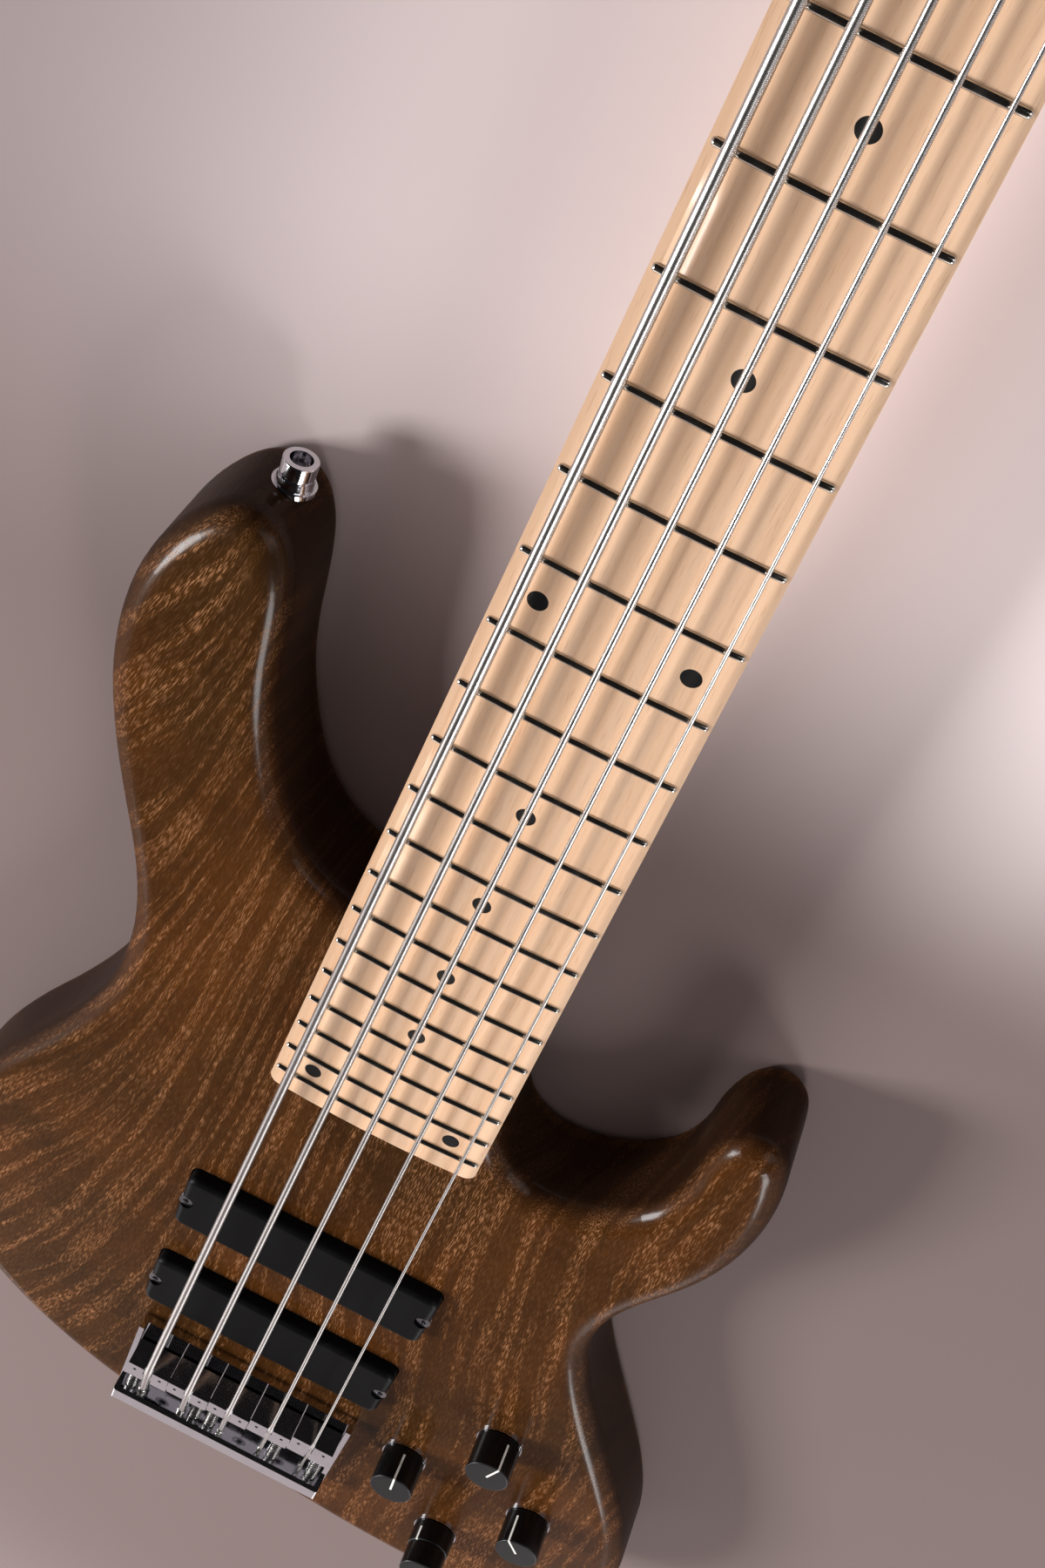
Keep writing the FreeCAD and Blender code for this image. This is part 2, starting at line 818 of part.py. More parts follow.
def make_fingerboard():
    blank = board_blank()
    pins = []
    for place in face_dot_places():
        foot = place - Z_AXIS * (dot_depth + crown_drop(place.x))
        pins.append(Part.makeCylinder(dot_radius, dot_depth + overrun, foot))
    for place in side_dot_places():
        start = place - X_AXIS * overrun
        pins.append(Part.makeCylinder(side_dot_radius, side_dot_depth + overrun, start, X_AXIS))
    save("position_dots", *[pin.common(blank) for pin in pins])
    slots = [fret_slot(number, contact_gap) for number in range(1, fret_count + 1)]
    save("fingerboard", blank.cut(pins + slots))
    save("frets", *[make_fret(number) for number in range(1, fret_count + 1)])


def make_nut():
    half = nut_width / 2
    high = max(nut_point(index).z for index in range(string_count)) + nut_shoulder
    low = block(Vector(-half, nut_y, board_bottom), Vector(half, nut_y + nut_thickness, high))
    dome_radius = board_radius + high - board_top
    axis = Vector(0, nut_y - overrun, board_top - board_radius)
    dome = Part.makeCylinder(dome_radius, nut_thickness + 2 * overrun, axis, Y_AXIS)
    grooves = []
    for index in range(string_count):
        crest, nut, under = string_run(index)[1:4]
        radius = string_gauges[index] / 2 + running_gap
        grooves.append(open_groove(nut + (crest - nut).normalize() * nut_thickness, nut, radius, high))
        grooves.append(open_groove(nut, nut + (under - nut).normalize() * nut_thickness, radius, high))
    save("nut", low.common(dome).cut(grooves))


def make_truss_rod():
    bar = rod_body(0)
    thread = Part.makeCylinder(rod_thread_radius, rod_thread_length, truss_axis(nut_y), Y_AXIS)
    save("truss_rod", bar.fuse(thread).removeSplitter())
    start = truss_axis(nut_y + nut_thickness + moving_gap)
    shell = Part.makeCylinder(truss_nut_radius, truss_nut_length, start, Y_AXIS)
    thread_room = rod_thread_length - nut_thickness + moving_gap
    bore = Part.makeCylinder(rod_thread_radius + running_gap, thread_room, start, Y_AXIS)
    end = start + Y_AXIS * truss_nut_length
    socket = regular_prism(end, truss_socket_radius, hex_sides, -Y_AXIS, truss_socket_depth)
    save("truss_nut", shell.cut([bore, socket]))


# Tuners

def make_gear(post):
    """Toothed wheel on a tuner's post."""
    ring = []
    for tooth in range(gear_teeth):
        for step, radius in enumerate((gear_root_radius, gear_tip_radius, gear_tip_radius, gear_root_radius)):
            angle = FULL_TURN * (tooth + step / 4) / gear_teeth
            ring.append((post.x + radius * math.cos(angle), post.y + radius * math.sin(angle)))
    return prism(ring, gear_bottom, gear_bottom + gear_height)


def make_post(index):
    """Slotted string post with its gear under the headstock."""
    post = post_place(index)
    base = gear_bottom - gear_floor_gap + moving_gap
    top = head_top + post_height
    shaft = Part.makeCylinder(post_radius, top - base, Vector(post.x, post.y, base))
    cap = Part.makeCylinder(post_top_radius, post_top_height, Vector(post.x, post.y, top - post_top_height))
    solid = shaft.fuse([cap, make_gear(post)]).removeSplitter()
    reach = post_top_radius + overrun
    slot = block(Vector(post.x - reach, post.y - post_slot_width / 2, top - post_slot_depth),
                 Vector(post.x + reach, post.y + post_slot_width / 2, top + overrun))
    save(f"{string_names[index]}_tuner_post", solid.cut(slot))


def make_key(index):
    """Tuner key: worm, shaft and the flat ear that fingers turn."""
    post = post_place(index)
    side = string_side(index)
    along = X_AXIS * side
    axis = Vector(post.x, post.y - worm_offset, worm_z)
    worm = Part.makeCylinder(worm_radius, worm_length, axis - along * (worm_length / 2), along)
    inner = housing_half_width - housing_wall
    shaft_length = key_reach + inner + key_round * 2
    shaft = Part.makeCylinder(key_shaft_radius, shaft_length, axis - along * inner, along)
    centre = axis + along * (key_reach + key_length / 2)
    low = worm_z - key_thickness / 2
    rim = Part.Ellipse(Vector(centre.x, centre.y, low), key_width / 2, key_length / 2)
    rim.XAxis = Y_AXIS
    ear = Part.Face(Part.Wire(rim.toShape())).extrude(Z_AXIS * key_thickness)
    ear = ear.makeFillet(key_round, edges_at(ear, low) + edges_at(ear, low + key_thickness))
    save(f"{string_names[index]}_tuner_key", ear.fuse([shaft, worm]).removeSplitter())


def make_housing(index):
    """Closed tuner housing on the back of the headstock, hollow for the gear and the worm."""
    post = post_place(index)
    side = string_side(index)
    low_y = post.y - worm_offset - worm_radius - housing_wall - moving_gap
    high_y = post.y + housing_half_width
    low = Vector(post.x - housing_half_width, low_y, head_bottom - housing_height)
    high = Vector(post.x + housing_half_width, high_y, head_bottom)
    shell = rounded_block(low, high, housing_corner)
    tab_half = small_screw_head_radius + housing_wall
    tab = rounded_block(Vector(post.x - tab_half, low_y - housing_tab, head_bottom - housing_tab_thickness),
                        Vector(post.x + tab_half, high_y + housing_tab, head_bottom), housing_corner)
    wall = Vector(housing_wall, housing_wall, housing_wall)
    hollow = block(low + wall, Vector(high.x - housing_wall, high.y - housing_wall, head_bottom + overrun))
    axis = Vector(post.x, post.y - worm_offset, worm_z)
    mouth_length = housing_half_width + overrun
    mouth = Part.makeCylinder(key_shaft_radius + running_gap, mouth_length, axis, X_AXIS * side)
    holes = [small_screw(place - Z_AXIS * housing_tab_thickness, Z_AXIS, contact_gap)
             for place in housing_tab_places(index)]
    return shell.fuse(tab).removeSplitter().cut([hollow, mouth] + holes)


def make_bushing(index):
    """Bush and flange nut that carry a post in the headstock."""
    post = post_place(index)
    sleeve = Part.makeCylinder(post_radius + bushing_wall, head_thickness, post - Z_AXIS * head_thickness)
    flange = regular_prism(post, bushing_flange_radius, hex_sides, Z_AXIS, bushing_flange_height)
    bore = Part.makeCylinder(post_radius + running_gap, head_thickness + bushing_flange_height + 2 * overrun,
                             post - Z_AXIS * (head_thickness + overrun))
    return sleeve.fuse(flange).removeSplitter().cut(bore)


def make_tuners():
    for index in range(string_count):
        make_post(index)
        make_key(index)
    save("tuner_housings", *[make_housing(index) for index in range(string_count)])
    save("tuner_bushings", *[make_bushing(index) for index in range(string_count)])


def make_retainer():
    bar_z = retainer_bottom + retainer_radius
    start = Vector(-retainer_half_length, nut_y + retainer_setback, bar_z)
    solid = Part.makeCylinder(retainer_radius, retainer_half_length * 2, start, X_AXIS)
    parts = []
    holes = []
    for foot in retainer_feet():
        parts.append(Part.makeCylinder(retainer_foot_radius, retainer_foot_height, foot))
        parts.append(Part.makeCylinder(retainer_radius, bar_z - head_top, foot))
        holes.append(small_screw(foot + Z_AXIS * retainer_foot_height, -Z_AXIS, contact_gap))
    save("string_retainer", solid.fuse(parts).removeSplitter().cut(holes))


def make_headstock_screws():
    screws = [small_screw(place - Z_AXIS * housing_tab_thickness, Z_AXIS)
              for index in range(string_count) for place in housing_tab_places(index)]
    screws += [small_screw(foot + Z_AXIS * retainer_foot_height, -Z_AXIS) for foot in retainer_feet()]
    save("headstock_screws", *screws)


# Strings

def make_strings():
    strings = []
    balls = []
    for index in range(string_count):
        gauge = string_gauges[index]
        centre, arm, touch, way = winding_start(index)
        edges = rounded_route(string_run(index), string_bend_radius)
        hand = -string_side(index)
        coil, (end, end_way) = helix_edges(centre, Z_AXIS, arm, winding_turns, gauge + winding_air, hand, way)
        tail = Part.LineSegment(end, end + end_way * gauge).toShape()
        strings.append(tube(edges + coil + [tail], gauge / 2, f"{string_names[index]} string"))
        anchor = anchor_point(index)
        along = (anchor - crest_point(index)).normalize()
        balls.append(Part.makeCylinder(ball_radius, ball_length, anchor, along))
    save("strings", *strings)
    save("ball_ends", *balls)


# Bridge

def intonation_axis(index, y):
    """Point on a saddle's intonation screw."""
    x = string_place(index, saddle_spacing) + intonation_sides[index] * intonation_offset
    return Vector(x, y, face_z + intonation_height)


def saddle_rear(index):
    """Rear end of a saddle at rest."""
    return -saddle_setbacks[index] - saddle_depth


def bridge_screw_places():
    """Middles of the bridge's screws, between the strings."""
    y = bridge_front - bridge_screw_setback
    return [Vector(string_place(index, saddle_spacing) + saddle_spacing / 2, y, bridge_floor_top)
            for index in range(string_count - 1)]


def bridge_screw(place, grow=0):
    """Countersunk screw through the bridge's floor into the body."""
    return screw(place, -Z_AXIS, bridge_screw_head_radius, bridge_screw_head_height,
                 bridge_screw_radius, bridge_screw_length, grow)


def make_bridge_plate():
    half = bridge_half_width
    floor = block(Vector(-half, bridge_back, face_z), Vector(half, bridge_front, bridge_floor_top))
    wall_top = face_z + bridge_wall_height
    profile = [(bridge_back, face_z), (wall_front, face_z), (wall_front, wall_top - bridge_bevel_drop),
               (wall_front - bridge_bevel_depth, wall_top), (bridge_back, wall_top)]
    rear = cross_prism(profile, -half, half)
    rail_top = face_z + bridge_rail_height
    rails = [block(Vector(x, bridge_back, face_z), Vector(x + bridge_rail, bridge_front, rail_top))
             for x in (-half, half - bridge_rail)]
    plate = floor.fuse([rear] + rails).removeSplitter()
    plate = plate.makeFillet(bridge_round, edges_at(plate, wall_top))
    cuts = [bridge_screw(place, contact_gap) for place in bridge_screw_places()]
    for index in range(string_count):
        anchor = anchor_point(index)
        along = (anchor - crest_point(index)).normalize()
        through = string_gauges[index] / 2 + running_gap
        start = anchor - along * (bridge_wall + overrun)
        cuts.append(Part.makeCylinder(through, bridge_wall + 2 * overrun, start, along))
        cuts.append(Part.makeCylinder(ball_radius + contact_gap, bridge_wall + overrun, anchor, along))
        cuts.append(Part.makeCylinder(intonation_radius + running_gap, bridge_wall + 2 * overrun,
                                      intonation_axis(index, bridge_back - overrun), Y_AXIS))
    save("bridge_plate", plate.cut(cuts))
    save("bridge_screws", *[bridge_screw(place) for place in bridge_screw_places()])


def make_saddle(index):
    """Saddle with a leaning front, a slope behind its crest, a rear bar, a groove and height screws."""
    crest = crest_point(index)
    half = (saddle_spacing - saddle_gap) / 2
    bottom = bridge_floor_top + saddle_lift
    step = face_z + saddle_step_height
    rear = saddle_rear(index)
    bar = step + saddle_bar_rise
    crest_end = crest.y - saddle_top_depth
    foot = crest.y + saddle_front_lean
    profile = [(foot, bottom), (crest.y, crest.z), (crest_end, crest.z), (crest_end, step),
               (rear + saddle_bar_depth, bar), (rear, bar), (rear, bottom)]
    solid = cross_prism(profile, crest.x - half, crest.x + half)
    radius = string_gauges[index] / 2 + moving_gap
    nut = nut_point(index)
    anchor = anchor_point(index)
    ahead = crest + (nut - crest).normalize() * saddle_depth
    cuts = []
    for slide in (0, saddle_travel):
        shift = Y_AXIS * slide
        cuts.append(open_groove(crest + shift, ahead + shift, radius, crest.z))
        cuts.append(open_groove(anchor + shift, crest + shift, radius, crest.z))
    hole_depth = intonation_reach + saddle_travel + overrun
    screw_start = intonation_axis(index, rear)
    cuts.append(Part.makeCylinder(intonation_radius + running_gap, hole_depth, screw_start, Y_AXIS))
    grubs = []
    for side in (-1, 1):
        x = crest.x + side * (half - grub_inset)
        place = Vector(x, crest.y - grub_setback, bridge_floor_top + running_gap)
        height = crest.z - place.z
        cuts.append(Part.makeCylinder(grub_radius, height + overrun, place))
        grub = Part.makeCylinder(grub_radius, height, place)
        grub_top = place + Z_AXIS * height
        socket = regular_prism(grub_top, grub_socket_radius, hex_sides, -Z_AXIS, grub_socket_depth)
        grubs.append(grub.cut(socket))
    save(f"{string_names[index]}_saddle", solid.cut(cuts), *grubs)


def make_intonation_screw(index):
    """Long screw through the bridge's rear wall into a saddle."""
    rear = saddle_rear(index)
    start = intonation_axis(index, bridge_back - running_gap)
    length = rear + intonation_reach - start.y
    shank = Part.makeCylinder(intonation_radius, length, start, Y_AXIS)
    head = Part.makeCylinder(intonation_head_radius, intonation_head_height, start, -Y_AXIS)
    socket = regular_prism(start - Y_AXIS * intonation_head_height, intonation_radius, hex_sides, Y_AXIS,
                           intonation_head_height * socket_share)
    save(f"{string_names[index]}_intonation_screw", shank.fuse(head).removeSplitter().cut(socket))


def make_springs():
    springs = []
    for index in range(string_count):
        room = saddle_rear(index) - moving_gap - wall_front - contact_gap
        rise = (room - spring_wire) / spring_curls
        start = intonation_axis(index, wall_front + contact_gap + spring_wire / 2)
        edges, _ = helix_edges(start, Y_AXIS, X_AXIS * spring_radius, spring_curls, rise, 1)
        springs.append(tube(edges, spring_wire / 2, f"{string_names[index]} spring"))
    save("intonation_springs", *springs)


def make_bridge():
    make_bridge_plate()
    make_springs()
    for index in range(string_count):
        make_saddle(index)
        make_intonation_screw(index)


# Pickups

def pickup_screw_places(y):
    """Heads of a pickup's two screws."""
    reach = pickup_length / 2 - pickup_screw_inset
    top = face_z + pickup_rise - pickup_notch_depth
    return [Vector(x, y, top) for x, _ in mirrored_pairs(reach, y)]


def pickup_screw(place, grow=0):
    """Height screw of a pickup, its head standing on the notch's floor."""
    head = Part.makeCylinder(pickup_screw_head_radius + grow, pickup_screw_head_height + grow, place)
    shank = Part.makeCylinder(pickup_screw_radius + grow, pickup_screw_length + grow, place, -Z_AXIS)
    return head.fuse(shank).removeSplitter()


def make_pickup(name, y):
    """Moulded cover, coil block inside it and the two height screws."""
    top = face_z + pickup_rise
    bottom = face_z - pickup_depth
    low = Vector(-pickup_length / 2, y - pickup_width / 2, bottom)
    high = Vector(pickup_length / 2, y + pickup_width / 2, top)
    cover = rounded_block(low, high, pickup_corner)
    cover = cover.makeFillet(pickup_top_round, edges_at(cover, top))
    inner_low = Vector(low.x + pickup_end_wall, low.y + pickup_wall, bottom - overrun)
    inner_high = Vector(high.x - pickup_end_wall, high.y - pickup_wall, top - pickup_wall)
    cuts = [block(inner_low, inner_high)]
    for place in pickup_screw_places(y):
        cuts.append(Part.makeCylinder(pickup_notch_radius, pickup_notch_depth + overrun, place))
        cuts.append(Part.makeCylinder(pickup_screw_radius + contact_gap, pickup_rise + pickup_depth + overrun,
                                      place + Z_AXIS * overrun, -Z_AXIS))
    save(f"{name}_pickup", cover.cut(cuts))
    core_bottom = top - pickup_wall - core_height
    core = block(Vector(inner_low.x + contact_gap, inner_low.y + contact_gap, core_bottom),
                 Vector(inner_high.x - contact_gap, inner_high.y - contact_gap, top - pickup_wall))
    save(f"{name}_pickup_core", core)
    screws = []
    for place in pickup_screw_places(y):
        screw_top = place + Z_AXIS * pickup_screw_head_height
        socket_depth = pickup_screw_head_height * socket_share
        socket = regular_prism(screw_top, pickup_screw_radius, hex_sides, -Z_AXIS, socket_depth)
        screws.append(pickup_screw(place).cut(socket))
    save(f"{name}_pickup_screws", *screws)


def pickup_cavity(y):
    """Room of a pickup in the body's face."""
    half_length = pickup_length / 2 + pickup_room
    half_width = pickup_width / 2 + pickup_room
    return rounded_block(Vector(-half_length, y - half_width, face_z - pickup_cavity_depth),
                         Vector(half_length, y + half_width, face_z + overrun), pickup_corner)


def foam_pad(y):
    """Foam between a pickup's coil block and the floor of its cavity."""
    half_length = pickup_length / 2 - pickup_end_wall - pickup_wall
    half_width = pickup_width / 2 - pickup_wall * 2
    top = face_z + pickup_rise - pickup_wall - core_height - moving_gap
    return block(Vector(-half_length, y - half_width, face_z - pickup_cavity_depth),
                 Vector(half_length, y + half_width, top))


def make_pickups():
    for name, y in (("neck", neck_pickup_y), ("bridge", bridge_pickup_y)):
        make_pickup(name, y)
    save("pickup_foam", foam_pad(neck_pickup_y), foam_pad(bridge_pickup_y))


# Controls

def control_places():
    """Shafts of the controls on the back's plane: volume, blend, middle and the stacked pair."""
    return {
        "volume": control_centre - X_AXIS * control_span_x,
        "blend": control_centre + Y_AXIS * control_span_y,
        "mid": control_centre + X_AXIS * control_span_x,
        "stack": control_centre - Y_AXIS * control_span_y,
    }


def line_cut(place, radius, low, high, angle):
    """Groove for the pointer line: across the top to the middle and most of the way down the side."""
    deep = radius - knob_line_depth
    width = knob_line_width / 2
    start = low + knob_line_start
    side = block(Vector(deep, -width, start), Vector(radius + overrun, width, high + overrun))
    across = block(Vector(0, -width, high - knob_line_depth), Vector(radius + overrun, width, high + overrun))
    cut = side.fuse(across)
    cut.Placement = FreeCAD.Placement(place, FreeCAD.Rotation(Z_AXIS, angle))
    return cut


def turned_knob(place, radius, low, high):
    """Plain round knob with a softened top edge."""
    solid = Part.makeCylinder(radius, high - low, place + Z_AXIS * low)
    return solid.makeFillet(knob_round, edges_at(solid, high))


def make_knob(node, place, angle):
    """Knob with its pointer groove, hollow over the nut, on a separate shaft."""
    high = knob_base + knob_height
    shaft_top = knob_base + knob_recess_depth + knob_shaft_depth
    knob = turned_knob(place, knob_radius, knob_base, high)
    recess = Part.makeCylinder(knob_recess_radius, knob_recess_depth, place + Z_AXIS * knob_base)
    bore = Part.makeCylinder(pot_shaft_radius, shaft_top - knob_base, place + Z_AXIS * knob_base)
    foot = control_ceiling - pot_height + moving_gap
    shaft = Part.makeCylinder(pot_shaft_radius, shaft_top - foot, place + Z_AXIS * foot)
    save(node, knob.cut([recess, bore, line_cut(place, knob_radius, knob_base, high, angle)]), shaft)


def make_stack(place):
    """Lower ring on a hollow shaft and upper knob on the shaft inside it."""
    ring_top = knob_base + ring_height
    ring = turned_knob(place, knob_radius, knob_base, ring_top)
    recess = Part.makeCylinder(knob_recess_radius, knob_recess_depth, place + Z_AXIS * knob_base)
    bore = Part.makeCylinder(ring_shaft_radius, ring_height + overrun, place + Z_AXIS * knob_base)
    foot = control_ceiling - pot_height + moving_gap
    sleeve = Part.makeCylinder(ring_shaft_radius, ring_top - foot, place + Z_AXIS * foot)
    inside = Part.makeCylinder(pot_shaft_radius + running_gap, ring_top - foot + 2 * overrun,
                               place + Z_AXIS * (foot - overrun))
    ring_line = line_cut(place, knob_radius, knob_base, ring_top, ring_line_angle)
    save("bass_ring", ring.cut([recess, bore, ring_line]), sleeve.cut(inside))
    base = ring_top + moving_gap
    high = base + stack_height
    shaft_top = base + knob_shaft_depth
    knob = turned_knob(place, stack_radius, base, high)
    shaft = Part.makeCylinder(pot_shaft_radius, shaft_top - foot, place + Z_AXIS * foot)
    knob_line = line_cut(place, stack_radius, base, high, stack_line_angle)
    save("treble_knob", knob.cut([shaft, knob_line]), shaft)


def pot_bore(name):
    """Radius of the running bore in a control's bush."""
    shaft = ring_shaft_radius if name == "stack" else pot_shaft_radius
    return shaft + running_gap


def make_pots():
    pots = []
    fittings = []
    for name, place in control_places().items():
        low = control_ceiling - pot_height
        case = Part.makeCylinder(pot_radius, pot_height, place + Z_AXIS * low)
        bush_top = face_z + pot_bush_rise
        bush_foot = place + Z_AXIS * control_ceiling
        bush = Part.makeCylinder(pot_bush_radius, bush_top - control_ceiling, bush_foot)
        bore_foot = place + Z_AXIS * (low + contact_gap)
        bore = Part.makeCylinder(pot_bore(name), bush_top - low + overrun, bore_foot)
        pots.append(case.fuse(bush).removeSplitter().cut(bore))
        seat = place + Z_AXIS * face_z
        hole = Part.makeCylinder(pot_bush_radius + contact_gap, body_thickness, seat)
        fittings.append(Part.makeCylinder(panel_washer_radius, panel_washer_height, seat).cut(hole))
        nut_base = seat + Z_AXIS * panel_washer_height
        nut = regular_prism(nut_base, panel_nut_radius, hex_sides, Z_AXIS, panel_nut_height)
        fittings.append(nut.cut(hole))
    seat = jack_seat_point()
    ring = regular_prism(seat, jack_nut_radius, hex_sides, X_AXIS, jack_nut_height)
    barrel = Part.makeCylinder(jack_barrel_radius + contact_gap, jack_nut_height + 2 * overrun,
                               seat - X_AXIS * overrun, X_AXIS)
    fittings.append(ring.cut(barrel))
    save("potentiometers", *pots)
    save("panel_nuts", *fittings)


def make_circuit_board():
    low = control_ceiling - pot_height - circuit_thickness
    half = Vector(board_half_length, board_half_width, 0)
    board_low = control_centre - half + Z_AXIS * low
    board_high = control_centre + half + Z_AXIS * (low + circuit_thickness)
    board = block(board_low, board_high)
    chips = []
    for column in (-1, 0, 1):
        middle = control_centre + X_AXIS * (column * board_half_length / 2)
        corner = Vector(chip_length / 2, chip_width / 2, 0)
        chips.append(block(middle - corner + Z_AXIS * (low - chip_height), middle + corner + Z_AXIS * low))
    save("preamp_board", board.fuse(chips).removeSplitter())


def make_controls():
    places = control_places()
    make_knob("volume_knob", places["volume"], volume_line_angle)
    make_knob("blend_knob", places["blend"], blend_line_angle)
    make_knob("mid_knob", places["mid"], mid_line_angle)
    make_stack(places["stack"])
    make_pots()
    make_circuit_board()


# Covers, battery and jack

def control_screw_places():
    """Heads of the control cover's screws, on the back's plane."""
    radius = control_radius + control_ledge / 2
    angles = [FULL_TURN * turn / cover_screw_count + QUARTER_TURN for turn in range(cover_screw_count)]
    return [control_centre + Vector(radius * math.cos(angle), radius * math.sin(angle), 0)
            for angle in angles]


def battery_room_box(gap, z_low, z_high, corner):
    """Plan of the battery's room, grown by a gap."""
    half = Vector(battery_length / 2 + gap, battery_width / 2 + gap, 0)
    middle = Vector(battery_x, battery_y, 0)
    return rounded_block(middle - half + Z_AXIS * z_low, middle + half + Z_AXIS * z_high, corner)


def battery_screw_places():
    """Heads of the battery cover's screws, on the back's plane."""
    reach = battery_length / 2 + battery_room + battery_ledge / 2
    return [Vector(battery_x + side * reach, battery_y, 0) for side in (-1, 1)]


def make_covers():
    places = control_screw_places() + battery_screw_places()
    screws = [small_screw(place, Z_AXIS) for place in places]
    holes = [small_screw(place, Z_AXIS, contact_gap) for place in places]
    disc = Part.makeCylinder(control_radius + control_ledge - contact_gap, cover_thickness, control_centre)
    plate = battery_room_box(battery_room + battery_ledge - contact_gap, 0, cover_thickness, battery_corner)
    save("rear_covers", disc.cut(holes), plate.cut(holes))
    save("cover_screws", *screws)
    rest = cover_thickness + contact_gap
    save("battery", battery_room_box(0, rest, rest + battery_height, battery_corner))


def jack_seat_point():
    """Middle of the flat seat for the jack's nut on the treble side."""
    reach = outline_reach(Vector(0, jack_y, 0), X_AXIS)
    return Vector(reach - jack_seat, jack_y, middle_z)


def make_jack():
    seat = jack_seat_point()
    mouth = seat + X_AXIS * jack_nut_height
    barrel = Part.makeCylinder(jack_barrel_radius, jack_barrel_length + jack_nut_height, mouth, -X_AXIS)
    bore = Part.makeCylinder(jack_bore_radius, jack_bore_length, mouth, -X_AXIS)
    save("output_jack", barrel.cut(bore))


# Strap buttons

def button_bases():
    """Middle of each strap button's seat and the way the button stands out of the body."""
    horn_y = outline_reach(Vector(horn_button_x, 0, 0), Y_AXIS)
    tail_y = outline_reach(Vector(tail_button_x, 0, 0), -Y_AXIS)
    return [(Vector(horn_button_x, horn_y - button_seat, button_rise), Y_AXIS),
            (Vector(tail_button_x, -tail_y + button_seat, button_rise), -Y_AXIS)]


def strap_screw(base, along, grow=0):
    """Screw that holds a strap button, with its head in the bottom of the bore."""
    top = base + along * (button_height - button_bore_depth)
    return screw(top, -along, strap_screw_head_radius, strap_screw_head_height, strap_screw_radius,
                 strap_screw_length, grow)


def make_button(base, along):
    """Turned strap button: washer, flared flange, waist and rounded lip about a locking bore."""
    lip = Part.makeCylinder(button_radius, button_lip_height)
    lip = lip.makeFillet(button_lip_round, edges_at(lip, 0) + edges_at(lip, button_lip_height))
    lip_base = base + along * (button_height - button_lip_height)
    lip.Placement = FreeCAD.Placement(lip_base, FreeCAD.Rotation(Z_AXIS, along))
    flange_base = base + along * button_washer_height
    flange = Part.makeCone(button_flange_radius, button_flare_radius, button_flange_height,
                           flange_base, along)
    washer = Part.makeCylinder(button_washer_radius, button_washer_height, base, along)
    waist_height = button_height - button_lip_round
    waist = Part.makeCylinder(button_waist_radius, waist_height, base, along)
    solid = waist.fuse([washer, flange, lip]).removeSplitter()
    bore = Part.makeCylinder(button_bore_radius, button_bore_depth + overrun,
                             base + along * (button_height + overrun), -along)
    return solid.cut([bore, strap_screw(base, along, contact_gap)])


def make_strap_buttons():
    save("strap_buttons", *[make_button(base, along) for base, along in button_bases()])
    save("strap_screws", *[strap_screw(base, along) for base, along in button_bases()])


# Neck fastening

def ferrule_blank(place, grow):
    """Cylinder of a neck bolt's ferrule in the back."""
    return Part.makeCylinder(ferrule_radius + grow, ferrule_height + grow, place)


def make_neck_fastening():
    bolts = [neck_bolt(place) for place in neck_bolt_places()]
    ferrules = []
    for place in neck_bolt_places():
        mouth = Part.makeCylinder(bolt_head_radius + contact_gap, bolt_recess, place)
        ferrules.append(ferrule_blank(place, 0).cut([neck_bolt(place, contact_gap), mouth]))
    save("neck_bolts", *bolts)
    save("neck_ferrules", *ferrules)


# Body

def body_plan():
    """Plan of the body through its hand-chosen points."""
    return smooth_outline([Vector(x * body_width, y * body_length, 0) for x, y in body_outline_shares])


def outline_reach(start, along):
    """Distance from a point inside the plan to the outermost crossing of the outline, one way."""
    ray = Part.LineSegment(start, start + along * (body_width + body_length)).toShape()
    crossings = body_plan().distToShape(ray)[1]
    return max((first - start).dot(along) for first, _ in crossings)


def body_blank():
    """Solid body with its large face and back roundovers."""
    solid = Part.Face(body_plan()).extrude(Z_AXIS * body_thickness)
    solid = solid.makeFillet(top_round, edges_at(solid, body_thickness))
    return solid.makeFillet(back_round, edges_at(solid, 0))


def control_cavity_cuts():
    """Round control room from the back, its ledge, the shaft holes and the jack's hole."""
    below = control_centre - Z_AXIS * overrun
    cuts = [Part.makeCylinder(control_radius, control_ceiling, control_centre),
            Part.makeCylinder(control_radius + control_ledge, cover_thickness + overrun, below)]
    for place in control_places().values():
        cuts.append(Part.makeCylinder(pot_bush_radius + contact_gap, body_thickness + overrun, place))
    cuts += [small_screw(place, Z_AXIS, contact_gap) for place in control_screw_places()]
    seat = jack_seat_point()
    barrel_length = jack_barrel_length + overrun
    cuts.append(Part.makeCylinder(jack_barrel_radius + contact_gap, barrel_length, seat, -X_AXIS))
    cuts.append(Part.makeCylinder(jack_nut_radius + moving_gap, jack_seat + overrun, seat, X_AXIS))
    return cuts


def battery_cuts():
    """Battery room from the back with the ledge for its cover."""
    room_top = cover_thickness + battery_height + battery_room
    cuts = [battery_room_box(battery_room, -overrun, room_top, battery_corner),
            battery_room_box(battery_room + battery_ledge, -overrun, cover_thickness, battery_corner)]
    cuts += [small_screw(place, Z_AXIS, contact_gap) for place in battery_screw_places()]
    return cuts


